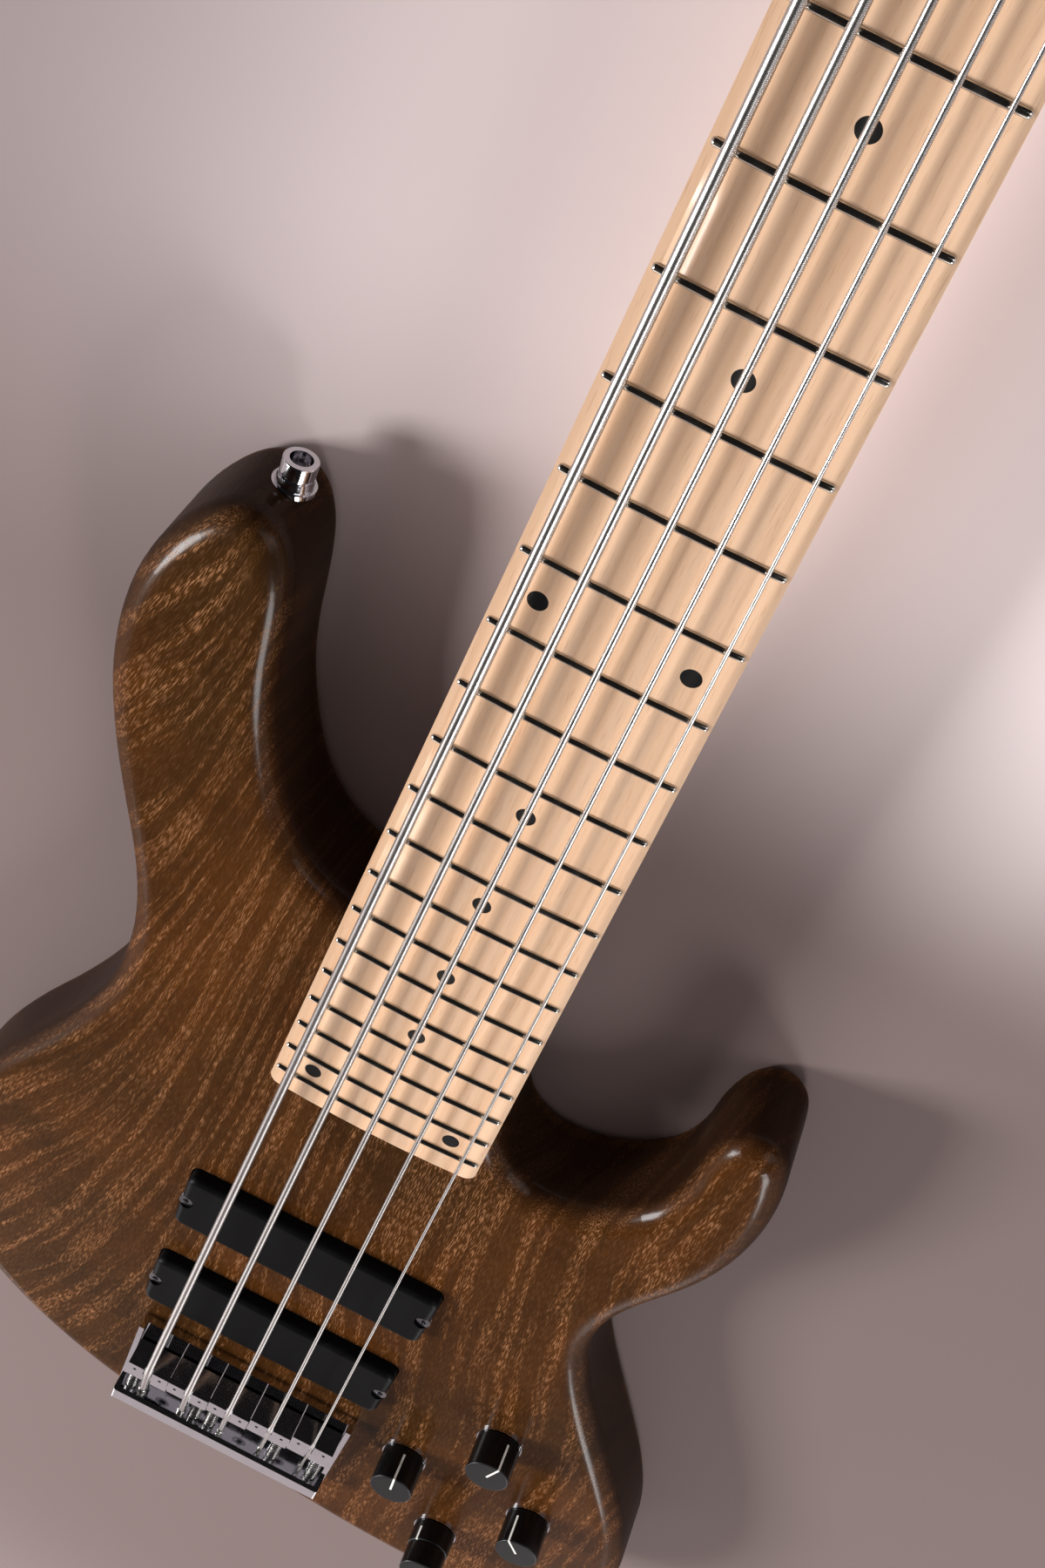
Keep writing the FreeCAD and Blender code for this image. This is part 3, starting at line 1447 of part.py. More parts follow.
def pickup_cuts():
    """Pickup rooms, the holes for their screws and the wire holes between the rooms."""
    cuts = []
    for y in (neck_pickup_y, bridge_pickup_y):
        cuts.append(pickup_cavity(y))
        for place in pickup_screw_places(y):
            cuts.append(Part.makeCylinder(pickup_screw_radius + moving_gap,
                                          pickup_screw_length + pickup_sink + moving_gap, place, -Z_AXIS))
    wire_z = face_z - pickup_cavity_depth / 2
    start = Vector(pickup_length / 2 - pickup_corner * 2, neck_pickup_y, wire_z)
    cuts.append(Part.makeCylinder(wire_hole_radius, neck_pickup_y - bridge_pickup_y, start, -Y_AXIS))
    start = Vector(pickup_length / 2, bridge_pickup_y, wire_z)
    way = (Vector(control_x, control_y, wire_z) - start).normalize()
    cuts.append(Part.makeCylinder(wire_hole_radius, control_x - pickup_length / 2, start, way))
    return cuts


def make_body():
    cuts = [heel_block(pocket_gap, heel_front + body_length, pocket_floor, face_z + overrun)]
    cuts += pickup_cuts() + control_cavity_cuts() + battery_cuts()
    for place in neck_bolt_places():
        cuts.append(ferrule_blank(place - Z_AXIS * contact_gap, contact_gap))
        cuts.append(neck_bolt(place, contact_gap))
    cuts += [bridge_screw(place, contact_gap) for place in bridge_screw_places()]
    for base, along in button_bases():
        cuts.append(Part.makeCylinder(button_washer_radius + moving_gap, button_seat + overrun, base, along))
        cuts.append(strap_screw(base, along, contact_gap))
    save("body", body_blank().cut(cuts))


def main():
    """Builds every sub-assembly and writes its nodes."""
    make_body()
    make_neck()
    make_fingerboard()
    make_nut()
    make_truss_rod()
    make_tuners()
    make_retainer()
    make_headstock_screws()
    make_strings()
    make_bridge()
    make_pickups()
    make_controls()
    make_covers()
    make_jack()
    make_strap_buttons()
    make_neck_fastening()


main()
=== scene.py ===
"""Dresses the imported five-string electric bass.

Adds fret wires, strings, springs, foam pads, pointer lines, finishes, light and camera.
"""

import logging
import math
from dataclasses import dataclass
from enum import Enum
from typing import Callable, Dict, List, Optional, Sequence, Tuple, Union

import bmesh
import bpy
from mathutils import Matrix, Vector


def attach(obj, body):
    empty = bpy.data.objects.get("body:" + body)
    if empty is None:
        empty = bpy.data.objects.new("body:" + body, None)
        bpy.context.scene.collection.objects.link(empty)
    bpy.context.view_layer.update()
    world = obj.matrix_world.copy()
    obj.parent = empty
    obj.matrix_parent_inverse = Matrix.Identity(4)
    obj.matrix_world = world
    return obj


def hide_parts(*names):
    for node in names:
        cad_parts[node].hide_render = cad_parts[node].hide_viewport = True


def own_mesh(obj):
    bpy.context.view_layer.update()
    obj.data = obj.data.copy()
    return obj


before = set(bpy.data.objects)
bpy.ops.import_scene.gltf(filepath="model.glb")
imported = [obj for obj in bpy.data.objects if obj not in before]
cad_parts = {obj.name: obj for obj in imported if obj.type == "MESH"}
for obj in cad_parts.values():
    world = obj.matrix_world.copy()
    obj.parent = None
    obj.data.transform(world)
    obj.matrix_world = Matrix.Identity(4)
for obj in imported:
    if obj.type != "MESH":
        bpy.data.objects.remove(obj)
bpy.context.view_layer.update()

LOG = logging.getLogger("electric_bass")
MM = 0.001
INSTRUMENT = "instrument"

# Middle of a signal that runs from 0 to 1
HALF = 0.5

# A display's levels: a straight toe near black and a power curve above it
FULL_LEVEL = 255.0
TOE_END = 0.04045
TOE_SLOPE = 12.92
CURVE_SHIFT = 0.055
CURVE_POWER = 2.4

Colour = Tuple[float, float, float, float]
Triple = Tuple[float, float, float]
Span = Tuple[float, float]
Weights = Tuple[float, ...]
Value = Union["Signal", float, Sequence[float]]
Piece = bpy.types.Object


class StringName(Enum):
    """The five strings, from the thickest to the thinnest."""

    B = 0
    E = 1
    A = 2
    D = 3
    G = 4

    @property
    def label(self) -> str:
        """Name that the string's nodes and joints start with."""
        return self.name.lower()


def shade(red: int, green: int, blue: int) -> Colour:
    """Turns a display colour into the linear colour that shaders take.

    Args:
        red: red level from 0 to 255.
        green: green level from 0 to 255.
        blue: blue level from 0 to 255.

    Returns:
        Linear red, green, blue and a full alpha.
    """
    levels = [level / FULL_LEVEL for level in (red, green, blue)]
    linear = [level / TOE_SLOPE if level <= TOE_END
              else ((level + CURVE_SHIFT) / (1.0 + CURVE_SHIFT)) ** CURVE_POWER for level in levels]
    return (linear[0], linear[1], linear[2], 1.0)


# Shader graphs

@dataclass(frozen=True)
class Lumps:
    """Settings of a noise: lumps to a unit, finer layers and the weight of those layers."""

    scale: float = 1.0
    detail: float = 2.0
    rough: float = 0.5


def operator(operation: str, reflected: bool = False) -> Callable[["Signal", Value], "Signal"]:
    """Makes the method of one of Python's operators on signals.

    Args:
        operation: the Math node's operation.
        reflected: whether the other value stands on the left.

    Returns:
        The method.
    """
    def method(signal: "Signal", other: Value) -> "Signal":
        """Adds a Math node for a signal and another value."""
        pair = (other, signal) if reflected else (signal, other)
        return signal.graph.math(operation, *pair)
    return method


class Signal:
    """A node's output socket, which Python's operators extend with Math nodes."""

    __add__, __radd__ = operator("ADD"), operator("ADD", True)
    __sub__, __rsub__ = operator("SUBTRACT"), operator("SUBTRACT", True)
    __mul__, __rmul__ = operator("MULTIPLY"), operator("MULTIPLY", True)
    __truediv__, __rtruediv__ = operator("DIVIDE"), operator("DIVIDE", True)

    def __init__(self, graph: "Graph", socket: bpy.types.NodeSocket) -> None:
        """Keeps the socket and the graph it belongs to."""
        self.graph = graph
        self.socket = socket

    def sine(self) -> "Signal":
        """Sine of the value in radians."""
        return self.graph.math("SINE", self, 0.0)

    def part(self) -> "Signal":
        """Fraction after the whole number."""
        return self.graph.math("FRACT", self, 0.0)

    def most(self, other: Value) -> "Signal":
        """Larger of two values."""
        return self.graph.math("MAXIMUM", self, other)

    def step(self, low: float, high: float) -> "Signal":
        """Smooth step from 0 at low to 1 at high."""
        sockets = {"Value": self, "From Min": low, "From Max": high, "To Min": 0.0, "To Max": 1.0}
        return self.graph.node("ShaderNodeMapRange", {"interpolation_type": "SMOOTHSTEP"}, sockets)


class Graph:
    """The node tree of a material or a world with its shader, ready for signals."""

    # A Mix node repeats the names of its sockets, so those for colours go by number
    MIX_FIRST = 6
    MIX_SECOND = 7
    MIX_RESULT = 2

    def __init__(self, name: str, world: Optional[bpy.types.World] = None) -> None:
        """Starts an empty material of that name, or the tree of a world."""
        self.material = None if world else bpy.data.materials.new(name)
        owner = world or self.material
        owner.use_nodes = True
        self.tree = owner.node_tree
        self.shader = self.tree.nodes["Background" if world else "Principled BSDF"]

    def node(self, kind: str, settings: Optional[Dict[str, object]] = None,
             sockets: Optional[Dict[Union[int, str], Value]] = None, output: Union[int, str] = 0) -> Signal:
        """Adds a node.

        Args:
            kind: Blender's type name of the node.
            settings: the node's own choices, set before its sockets.
            sockets: values or signals for its inputs, by name or number.
            output: name or number of the output to hand back.

        Returns:
            The chosen output.
        """
        made = self.tree.nodes.new(kind)
        for name, choice in (settings or {}).items():
            setattr(made, name, choice)
        for name, value in (sockets or {}).items():
            self.feed(made.inputs[name], value)
        return Signal(self, made.outputs[output])

    def feed(self, socket: bpy.types.NodeSocket, value: Value) -> None:
        """Links a signal to a socket or writes a plain value on it."""
        if isinstance(value, Signal):
            self.tree.links.new(value.socket, socket)
        else:
            socket.default_value = value

    def math(self, operation: str, first: Value, second: Value) -> Signal:
        """Adds a Math node of two values."""
        return self.node("ShaderNodeMath", {"operation": operation}, {0: first, 1: second})

    def place(self) -> Signal:
        """Object coordinates."""
        return self.node("ShaderNodeTexCoord", output="Object")

    def ray(self, kind: str) -> Signal:
        """1 for rays of a kind, such as "Is Camera Ray", and 0 for others."""
        return self.node("ShaderNodeLightPath", output=kind)

    def axes(self, vector: Signal) -> List[Signal]:
        """Splits a vector into its three values."""
        split = self.node("ShaderNodeSeparateXYZ", None, {"Vector": vector}).socket.node
        return [Signal(self, split.outputs[name]) for name in "XYZ"]

    def vector(self, x: Value, y: Value, z: Value) -> Signal:
        """Joins three values into a vector."""
        return self.node("ShaderNodeCombineXYZ", None, {"X": x, "Y": y, "Z": z})

    def noise(self, vector: Signal, lumps: Lumps) -> Signal:
        """Soft random value from 0 to 1 over space."""
        sockets = {"Vector": vector, "Scale": lumps.scale, "Detail": lumps.detail, "Roughness": lumps.rough}
        return self.node("ShaderNodeTexNoise", None, sockets)

    def streaks(self, axes: Sequence[Signal], scales: Triple, lumps: Lumps = Lumps()) -> Signal:
        """Noise that is drawn out along its axes.

        Args:
            axes: three coordinates.
            scales: lumps to a unit along each of them.
            lumps: the noise's settings.

        Returns:
            The noise value.
        """
        return self.noise(self.vector(*(axis * scale for axis, scale in zip(axes, scales))), lumps)

    def cells(self, vector: Signal, scale: float) -> Signal:
        """Distance to the nearest of many scattered points."""
        return self.node("ShaderNodeTexVoronoi", None, {"Vector": vector, "Scale": scale})

    def mix(self, share: Value, first: Value, second: Value) -> Signal:
        """Blend of two colours."""
        settings = {"data_type": "RGBA", "clamp_factor": True}
        sockets = {"Factor": share, self.MIX_FIRST: first, self.MIX_SECOND: second}
        return self.node("ShaderNodeMix", settings, sockets, self.MIX_RESULT)

    def blend(self, weights: Weights, *signals: Signal) -> Signal:
        """Adds weighted signals to a base value.

        Args:
            weights: the base value, then the weight of each signal.
            signals: the signals, in the same order.

        Returns:
            The sum.
        """
        total: Value = weights[0]
        for weight, signal in zip(weights[1:], signals):
            total = total + signal * weight
        return total

    def relief(self, height: Signal, depth: float, strength: float) -> None:
        """Feeds a bump to the shader's normal.

        Args:
            height: relief from 0 to 1.
            depth: real depth of that relief in metres.
            strength: share of the bump that shows.
        """
        sockets = {"Height": height, "Distance": depth, "Strength": strength}
        self.feed(self.shader.inputs["Normal"], self.node("ShaderNodeBump", None, sockets))

    def set(self, **sockets: Value) -> None:
        """Sets the shader's inputs; a socket's spaces are written as underscores."""
        for name, value in sockets.items():
            self.feed(self.shader.inputs[name.replace("_", " ")], value)


# Finishes: lengths in metres, noises in lumps to a metre, bumps as depth and strength

@dataclass(frozen=True)
class Finish:
    """A surface drawn by nodes alone."""

    name: str

    def draw(self, graph: Graph) -> None:
        """Draws the surface on an empty graph."""
        raise NotImplementedError

    def material(self) -> bpy.types.Material:
        """Makes the material."""
        graph = Graph(self.name)
        self.draw(graph)
        return graph.material


@dataclass(frozen=True)
class StainedAsh(Finish):
    """Open-pored ash with brown stain, darker side walls and a satin coat."""

    dark: Colour = shade(34, 19, 7)
    olive: Colour = shade(64, 38, 12)
    brown: Colour = shade(79, 43, 12)
    pore: Colour = shade(152, 106, 72)
    edge: Colour = shade(26, 15, 10)
    lean: float = 0.62
    lean_span: Span = (0.0, 0.11)
    lean_back: float = 0.08
    lean_fibre: float = 0.5
    dive: float = 0.35
    sway: Lumps = Lumps(5.5, 1.0)
    sway_band: float = 0.040
    sway_fibre: float = 0.012
    ripple: Lumps = Lumps(40.0, 2.0, 0.6)
    ripple_band: float = 0.005
    band: Lumps = Lumps(1.0, 2.0, 0.6)
    band_width: float = 0.0062
    band_length: float = 0.11
    band_span: Span = (0.45, 0.62)
    stroke: Lumps = Lumps(1.0, 1.0)
    stroke_width: float = 0.00035
    stroke_length: float = 0.0042
    stroke_span: Span = (0.50, 0.66)
    stroke_band: Weights = (0.14, 0.86)
    stroke_shows: float = 0.8
    patch: Lumps = Lumps(24.0, 3.0, 0.6)
    patch_span: Span = (0.16, 0.56)
    fibre: Triple = (1500.0, 110.0, 1500.0)
    cloud: Lumps = Lumps(11.0, 3.0, 0.6)
    cloud_span: Span = (0.34, 0.66)
    stain: Weights = (0.72, -0.34, -0.55, 0.9)
    edge_span: Span = (0.0335, 0.0402)
    edge_cloud: float = 0.004
    edge_fibre: Weights = (1.0, -0.3)
    edge_back: Span = (0.0, 0.009)
    rough: Weights = (0.42, 0.14, 0.08)
    coat: Weights = (0.2, -0.12)
    coat_rough: float = 0.17
    sheen: float = 0.02
    height: Weights = (0.7, -0.5, 0.12)
    bump: Span = (0.0001, 0.5)

    def draw(self, graph: Graph) -> None:
        """Draws bands of short pore strokes, stain, dark edges and coat."""
        place = graph.place()
        x, y, z = graph.axes(place)
        sway = graph.noise(place, self.sway) - HALF
        ripple = graph.noise(place, self.ripple) - HALF
        tilt = (x * -1.0).step(*self.lean_span) * self.lean - self.lean_back
        line = x - y * tilt + z * self.dive + sway * self.sway_band + ripple * self.ripple_band
        across = x - y * tilt * self.lean_fibre + z * self.dive + sway * self.sway_fibre
        along = y + x * tilt * self.lean_fibre
        bands = graph.vector(line / self.band_width, along / self.band_length, z)
        porous = graph.noise(bands, self.band).step(*self.band_span)
        strokes = graph.vector(across / self.stroke_width, along / self.stroke_length, z / self.stroke_width)
        patch = graph.noise(place, self.patch)
        pores = graph.noise(strokes, self.stroke).step(*self.stroke_span)
        pores = pores * graph.blend(self.stroke_band, porous) * patch.step(*self.patch_span)
        fibre = graph.streaks((across, along, z), self.fibre)
        cloud = graph.noise(place, self.cloud)
        wash = graph.mix(cloud.step(*self.cloud_span), self.olive, self.brown)
        stained = graph.mix(graph.blend(self.stain, porous, fibre, HALF - patch), wash, self.dark)
        flecked = graph.mix(pores * self.stroke_shows, stained, self.pore)
        # Darker side walls: below the face's roundover, fading out near the back
        rim = 1.0 - (z + (cloud - HALF) * self.edge_cloud).step(*self.edge_span)
        worn = rim * z.step(*self.edge_back) * graph.blend(self.edge_fibre, fibre)
        graph.set(Base_Color=graph.mix(worn, flecked, self.edge),
                  Roughness=graph.blend(self.rough, pores, fibre), Coat_Weight=graph.blend(self.coat, pores),
                  Coat_Roughness=self.coat_rough, Specular_IOR_Level=self.sheen)
        graph.relief(graph.blend(self.height, pores, fibre), *self.bump)


@dataclass(frozen=True)
class Maple(Finish):
    """Pale maple with fine lines along the neck and a satin seal."""

    pale: Colour = shade(230, 193, 161)
    warm: Colour = shade(214, 171, 134)
    line: Colour = shade(170, 117, 79)
    sway: Lumps = Lumps(3.0, 1.0)
    sway_across: float = 0.02
    dive: float = 0.3
    growth: Triple = (210.0, 2.2, 60.0)
    growth_lumps: Lumps = Lumps(1.0, 2.0, 0.6)
    growth_span: Span = (0.30, 0.72)
    fleck: Triple = (2600.0, 120.0, 2600.0)
    fleck_lumps: Lumps = Lumps(1.0, 1.0)
    figure: Triple = (22.0, 46.0, 22.0)
    warmth: Weights = (0.0, 0.75, 0.25)
    line_span: Span = (0.60, 0.74)
    lines: Weights = (0.0, 0.30, 0.28)
    rough: Weights = (0.38, 0.12, 0.06)
    coat: float = 0.15
    coat_rough: float = 0.2
    height: Weights = (0.0, 0.6, 0.4)
    bump: Span = (0.00003, 0.35)

    def draw(self, graph: Graph) -> None:
        """Draws growth lines, short flecks and soft figure."""
        place = graph.place()
        x, y, z = graph.axes(place)
        sway = graph.noise(place, self.sway) - HALF
        across = x + sway * self.sway_across + z * self.dive
        growth = graph.streaks((across, y, z), self.growth, self.growth_lumps)
        fleck = graph.streaks((across, y, z), self.fleck, self.fleck_lumps)
        figure = graph.streaks((x, y, z), self.figure)
        warmth = graph.blend(self.warmth, growth.step(*self.growth_span), figure)
        lines = graph.blend(self.lines, growth.step(*self.line_span), fleck.step(*self.line_span))
        graph.set(Base_Color=graph.mix(lines, graph.mix(warmth, self.pale, self.warm), self.line),
                  Roughness=graph.blend(self.rough, fleck, figure),
                  Coat_Weight=self.coat, Coat_Roughness=self.coat_rough)
        graph.relief(graph.blend(self.height, fleck, growth), *self.bump)


@dataclass(frozen=True)
class Plated(Finish):
    """Bright metal with fine wiping marks and faint smears."""

    colour: Colour = shade(222, 222, 226)
    shadow: Colour = shade(196, 197, 203)
    rough: Weights = (0.06, 0.08, 0.02)
    strength: float = 0.12
    depth: float = 0.00001
    smear: Lumps = Lumps(130.0, 3.0, 0.6)
    smear_span: Span = (0.45, 0.8)
    fine: Lumps = Lumps(2600.0)
    height: Weights = (0.0, 0.6, 0.4)

    def draw(self, graph: Graph) -> None:
        """Draws smears in the gloss and fine marks in the relief."""
        place = graph.place()
        smear = graph.noise(place, self.smear)
        fine = graph.noise(place, self.fine)
        graph.set(Base_Color=graph.mix(smear, self.shadow, self.colour), Metallic=1.0,
                  Roughness=graph.blend(self.rough, smear.step(*self.smear_span), fine))
        graph.relief(graph.blend(self.height, fine, smear), self.depth, self.strength)


@dataclass(frozen=True)
class WoundWire(Finish):
    """Round-wound string: close turns of nickel wire with painted shade in the gaps between them."""

    bright: Colour = shade(212, 208, 205)
    gap: Colour = shade(156, 152, 148)
    pitch: float = 0.0004
    slant: float = 0.12
    wrap_span: Span = (0.05, 0.55)
    dull: Lumps = Lumps(60.0)
    crest_unshaded: Weights = (0.72, 0.3)
    rough: Weights = (0.22, 0.08, 0.1)
    bump: Span = (0.00003, 0.18)

    def draw(self, graph: Graph) -> None:
        """Draws the turns of the wrap along the string, with painted shade in the gaps."""
        place = graph.place()
        x, y, z = graph.axes(place)
        turn = (y + x * self.slant + z * self.slant) / self.pitch * math.tau
        wrap = (turn.sine() * HALF + HALF).step(*self.wrap_span)
        dull = graph.noise(place, self.dull)
        # Painted shade: the grooves between the turns take the darker colour
        crest_unshaded = wrap * graph.blend(self.crest_unshaded, dull)
        graph.set(Base_Color=graph.mix(crest_unshaded, self.gap, self.bright), Metallic=1.0,
                  Roughness=graph.blend(self.rough, dull, 1.0 - wrap))
        graph.relief(wrap, *self.bump)


@dataclass(frozen=True)
class Moulded(Finish):
    """Moulded plastic with a fine skin and faint handling marks."""

    colour: Colour
    worn: Colour
    rough: float
    grain: float
    strength: float
    sheen: float = 0.5
    depth: float = 0.00002
    marks: Lumps = Lumps(48.0, 3.0, 0.65)
    wear: Weights = (0.0, 0.7, 0.2)
    wear_span: Span = (0.42, 0.8)
    rub: Weights = (0.1, 0.05)
    rub_span: Span = (0.4, 0.8)

    def draw(self, graph: Graph) -> None:
        """Draws the skin's grain and the marks in its gloss."""
        place = graph.place()
        skin = graph.noise(place, Lumps(self.grain))
        marks = graph.noise(place, self.marks)
        wear = graph.blend(self.wear, marks.step(*self.wear_span), skin)
        graph.set(Base_Color=graph.mix(wear, self.colour, self.worn),
                  Roughness=graph.blend((self.rough, *self.rub), marks.step(*self.rub_span), skin),
                  Specular_IOR_Level=self.sheen)
        graph.relief(skin, self.depth, self.strength)


@dataclass(frozen=True)
class TurnedKnob(Finish):
    """Black knob with a glossy side and a dull, finely turned top."""

    top: float
    side: Colour = shade(12, 12, 13)
    face: Colour = shade(23, 21, 21)
    turned: Colour = shade(17, 16, 16)
    skin: Lumps = Lumps(2400.0)
    marks: Lumps = Lumps(60.0, 3.0, 0.65)
    edge: float = 0.0002
    face_wear: Weights = (0.0, 0.6, 0.4)
    side_wear: float = 0.3
    rough: Weights = (0.17, 0.36, 0.06)
    rub_span: Span = (0.4, 0.8)
    sheen: float = 0.3
    bump: Span = (0.00001, 0.15)

    def draw(self, graph: Graph) -> None:
        """Draws the dull face over the glossy side."""
        place = graph.place()
        skin = graph.noise(place, self.skin)
        marks = graph.noise(place, self.marks)
        dull = graph.axes(place)[2].step(self.top - 2 * self.edge, self.top - self.edge)
        face = graph.mix(graph.blend(self.face_wear, skin, marks), self.turned, self.face)
        side = graph.mix(marks * self.side_wear, self.side, self.turned)
        graph.set(Base_Color=graph.mix(dull, side, face), Specular_IOR_Level=self.sheen,
                  Roughness=graph.blend(self.rough, dull, marks.step(*self.rub_span)))
        graph.relief(skin, *self.bump)


@dataclass(frozen=True)
class PointerPaint(Finish):
    """White line fill, slightly dirty where fingers pass."""

    white: Colour = shade(238, 235, 228)
    soiled: Colour = shade(206, 200, 188)
    dirt: Lumps = Lumps(420.0)
    dirt_span: Span = (0.4, 0.85)
    rough: Weights = (0.42, 0.15)
    bump: Span = (0.00001, 0.3)

    def draw(self, graph: Graph) -> None:
        """Draws the paint and its dirt."""
        dirt = graph.noise(graph.place(), self.dirt)
        graph.set(Base_Color=graph.mix(dirt.step(*self.dirt_span), self.white, self.soiled),
                  Roughness=graph.blend(self.rough, dirt))
        graph.relief(dirt, *self.bump)


@dataclass(frozen=True)
class Foam(Finish):
    """Open-cell foam."""

    skin: Colour = shade(66, 66, 70)
    hollow_shade: Colour = shade(28, 28, 31)
    grain: float = 900.0
    cell_span: Span = (0.1, 0.5)
    rough: Weights = (0.92, -0.1)
    bump: Span = (0.0004, 0.8)

    def draw(self, graph: Graph) -> None:
        """Draws the cells with painted shade in their hollows."""
        # Painted shade: the darker colour sits in the hollows of the cells
        cell = graph.cells(graph.place(), self.grain)
        graph.set(Base_Color=graph.mix(cell.step(*self.cell_span), self.hollow_shade, self.skin),
                  Roughness=graph.blend(self.rough, cell))
        graph.relief(cell, *self.bump)


@dataclass(frozen=True)
class CircuitMask(Finish):
    """Green solder mask with paler copper paths under it."""

    mask: Colour = shade(18, 74, 46)
    path: Colour = shade(52, 118, 74)
    lanes: float = 400.0
    bend: Lumps = Lumps(60.0, 0.0)
    bend_lane: float = 1.2
    lane_start: Span = (0.35, 0.42)
    lane_end: Span = (0.58, 0.65)
    gate: Triple = (300.0, 60.0, 1.0)
    gate_lumps: Lumps = Lumps(1.0, 0.0)
    gate_span: Span = (0.48, 0.52)
    rough: Weights = (0.28, 0.1)
    bump: Span = (0.00004, 0.6)

    def draw(self, graph: Graph) -> None:
        """Draws straight paths under the mask."""
        place = graph.place()
        x, y, z = graph.axes(place)
        lane = (x * self.lanes + graph.noise(place, self.bend) * self.bend_lane).part()
        gate = graph.streaks((x, y, z), self.gate, self.gate_lumps).step(*self.gate_span)
        path = lane.step(*self.lane_start) * (1.0 - lane.step(*self.lane_end)) * gate
        graph.set(Base_Color=graph.mix(path, self.mask, self.path), Roughness=graph.blend(self.rough, path))
        graph.relief(path, *self.bump)


CHROME = Plated("chrome_plate")
NICKEL = Plated("nickel_silver", shade(214, 208, 198), shade(186, 180, 170),
                rough=(0.14, 0.1, 0.02), strength=0.2)
STEEL = Plated("bright_steel", shade(190, 190, 194), shade(150, 150, 156),
               rough=(0.2, 0.14, 0.02), strength=0.3)
SPRING_STEEL = Plated("spring_steel", shade(176, 174, 170), shade(132, 130, 128),
                      rough=(0.22, 0.12, 0.02), strength=0.25)
BRASS = Plated("turned_brass", shade(206, 166, 96), shade(168, 128, 66),
               rough=(0.22, 0.14, 0.02), strength=0.3)
CAN = Plated("battery_can", shade(120, 122, 128), shade(92, 94, 100),
             rough=(0.3, 0.12, 0.02), strength=0.2)
BOARD_MAPLE = Maple("maple")
ASH = StainedAsh("stained_ash")
WOUND = WoundWire("wound_string")
PICKUP_SHELL = Moulded("pickup_black", shade(9, 9, 10), shade(15, 15, 17),
                       rough=0.42, grain=2600.0, strength=0.35, sheen=0.08)
COVER_SHELL = Moulded("cover_black", shade(24, 24, 25), shade(38, 38, 40),
                      rough=0.36, grain=2200.0, strength=0.4)
INLAY = Moulded("black_inlay", shade(20, 19, 19), shade(34, 32, 30),
                rough=0.3, grain=1500.0, strength=0.2)
NUT_SHELL = Moulded("nut_white", shade(232, 226, 208), shade(214, 204, 180),
                    rough=0.34, grain=900.0, strength=0.2)
POINTER = PointerPaint("pointer_white")
FOAM = Foam("foam")
CIRCUIT = CircuitMask("circuit_green")

PICKUP_NAMES = ("neck", "bridge")
NODE_FINISHES: Dict[Finish, List[str]] = {
    ASH: ["body"],
    BOARD_MAPLE: ["neck", "fingerboard"],
    INLAY: ["position_dots"],
    NUT_SHELL: ["nut"],
    BRASS: ["ball_ends"],
    PICKUP_SHELL: [f"{name}_{part}" for name in PICKUP_NAMES for part in ("pickup", "pickup_core")],
    COVER_SHELL: ["rear_covers"],
    CIRCUIT: ["preamp_board"],
    CAN: ["battery"],
    CHROME: ["tuner_housings", "tuner_bushings", "string_retainer", "bridge_plate", "panel_nuts",
             "strap_buttons", "output_jack", "neck_ferrules"]
            + [f"{string.label}_{part}" for string in StringName
               for part in ("tuner_key", "tuner_post", "saddle")],
    STEEL: ["headstock_screws", "truss_rod", "truss_nut", "bridge_screws", "potentiometers",
            "cover_screws", "strap_screws", "neck_bolts"]
           + [f"{string.label}_intonation_screw" for string in StringName]
           + [f"{name}_pickup_screws" for name in PICKUP_NAMES],
}


class Palette:
    """Makes each finish once and lays it on pieces."""

    def __init__(self) -> None:
        """Starts with no finish made."""
        self.made: Dict[str, bpy.types.Material] = {}

    def material(self, finish: Finish) -> bpy.types.Material:
        """Material of a finish, made on its first use."""
        if finish.name not in self.made:
            self.made[finish.name] = finish.material()
        return self.made[finish.name]

    def dress(self, piece: Piece, finish: Finish) -> None:
        """Lays a finish on all slots of a piece.

        Args:
            piece: a new piece or a carried-over node.
            finish: what it is made of.
        """
        material = self.material(finish)
        if not piece.material_slots:
            piece.data.materials.append(material)
        for slot in piece.material_slots:
            slot.material = material

    def dress_nodes(self, finish: Finish, *names: str) -> None:
        """Lays a finish on nodes of the frame, by name."""
        for name in names:
            self.dress(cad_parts[name], finish)
            LOG.info("node %s: %s", name, finish.name)


# Bench tools

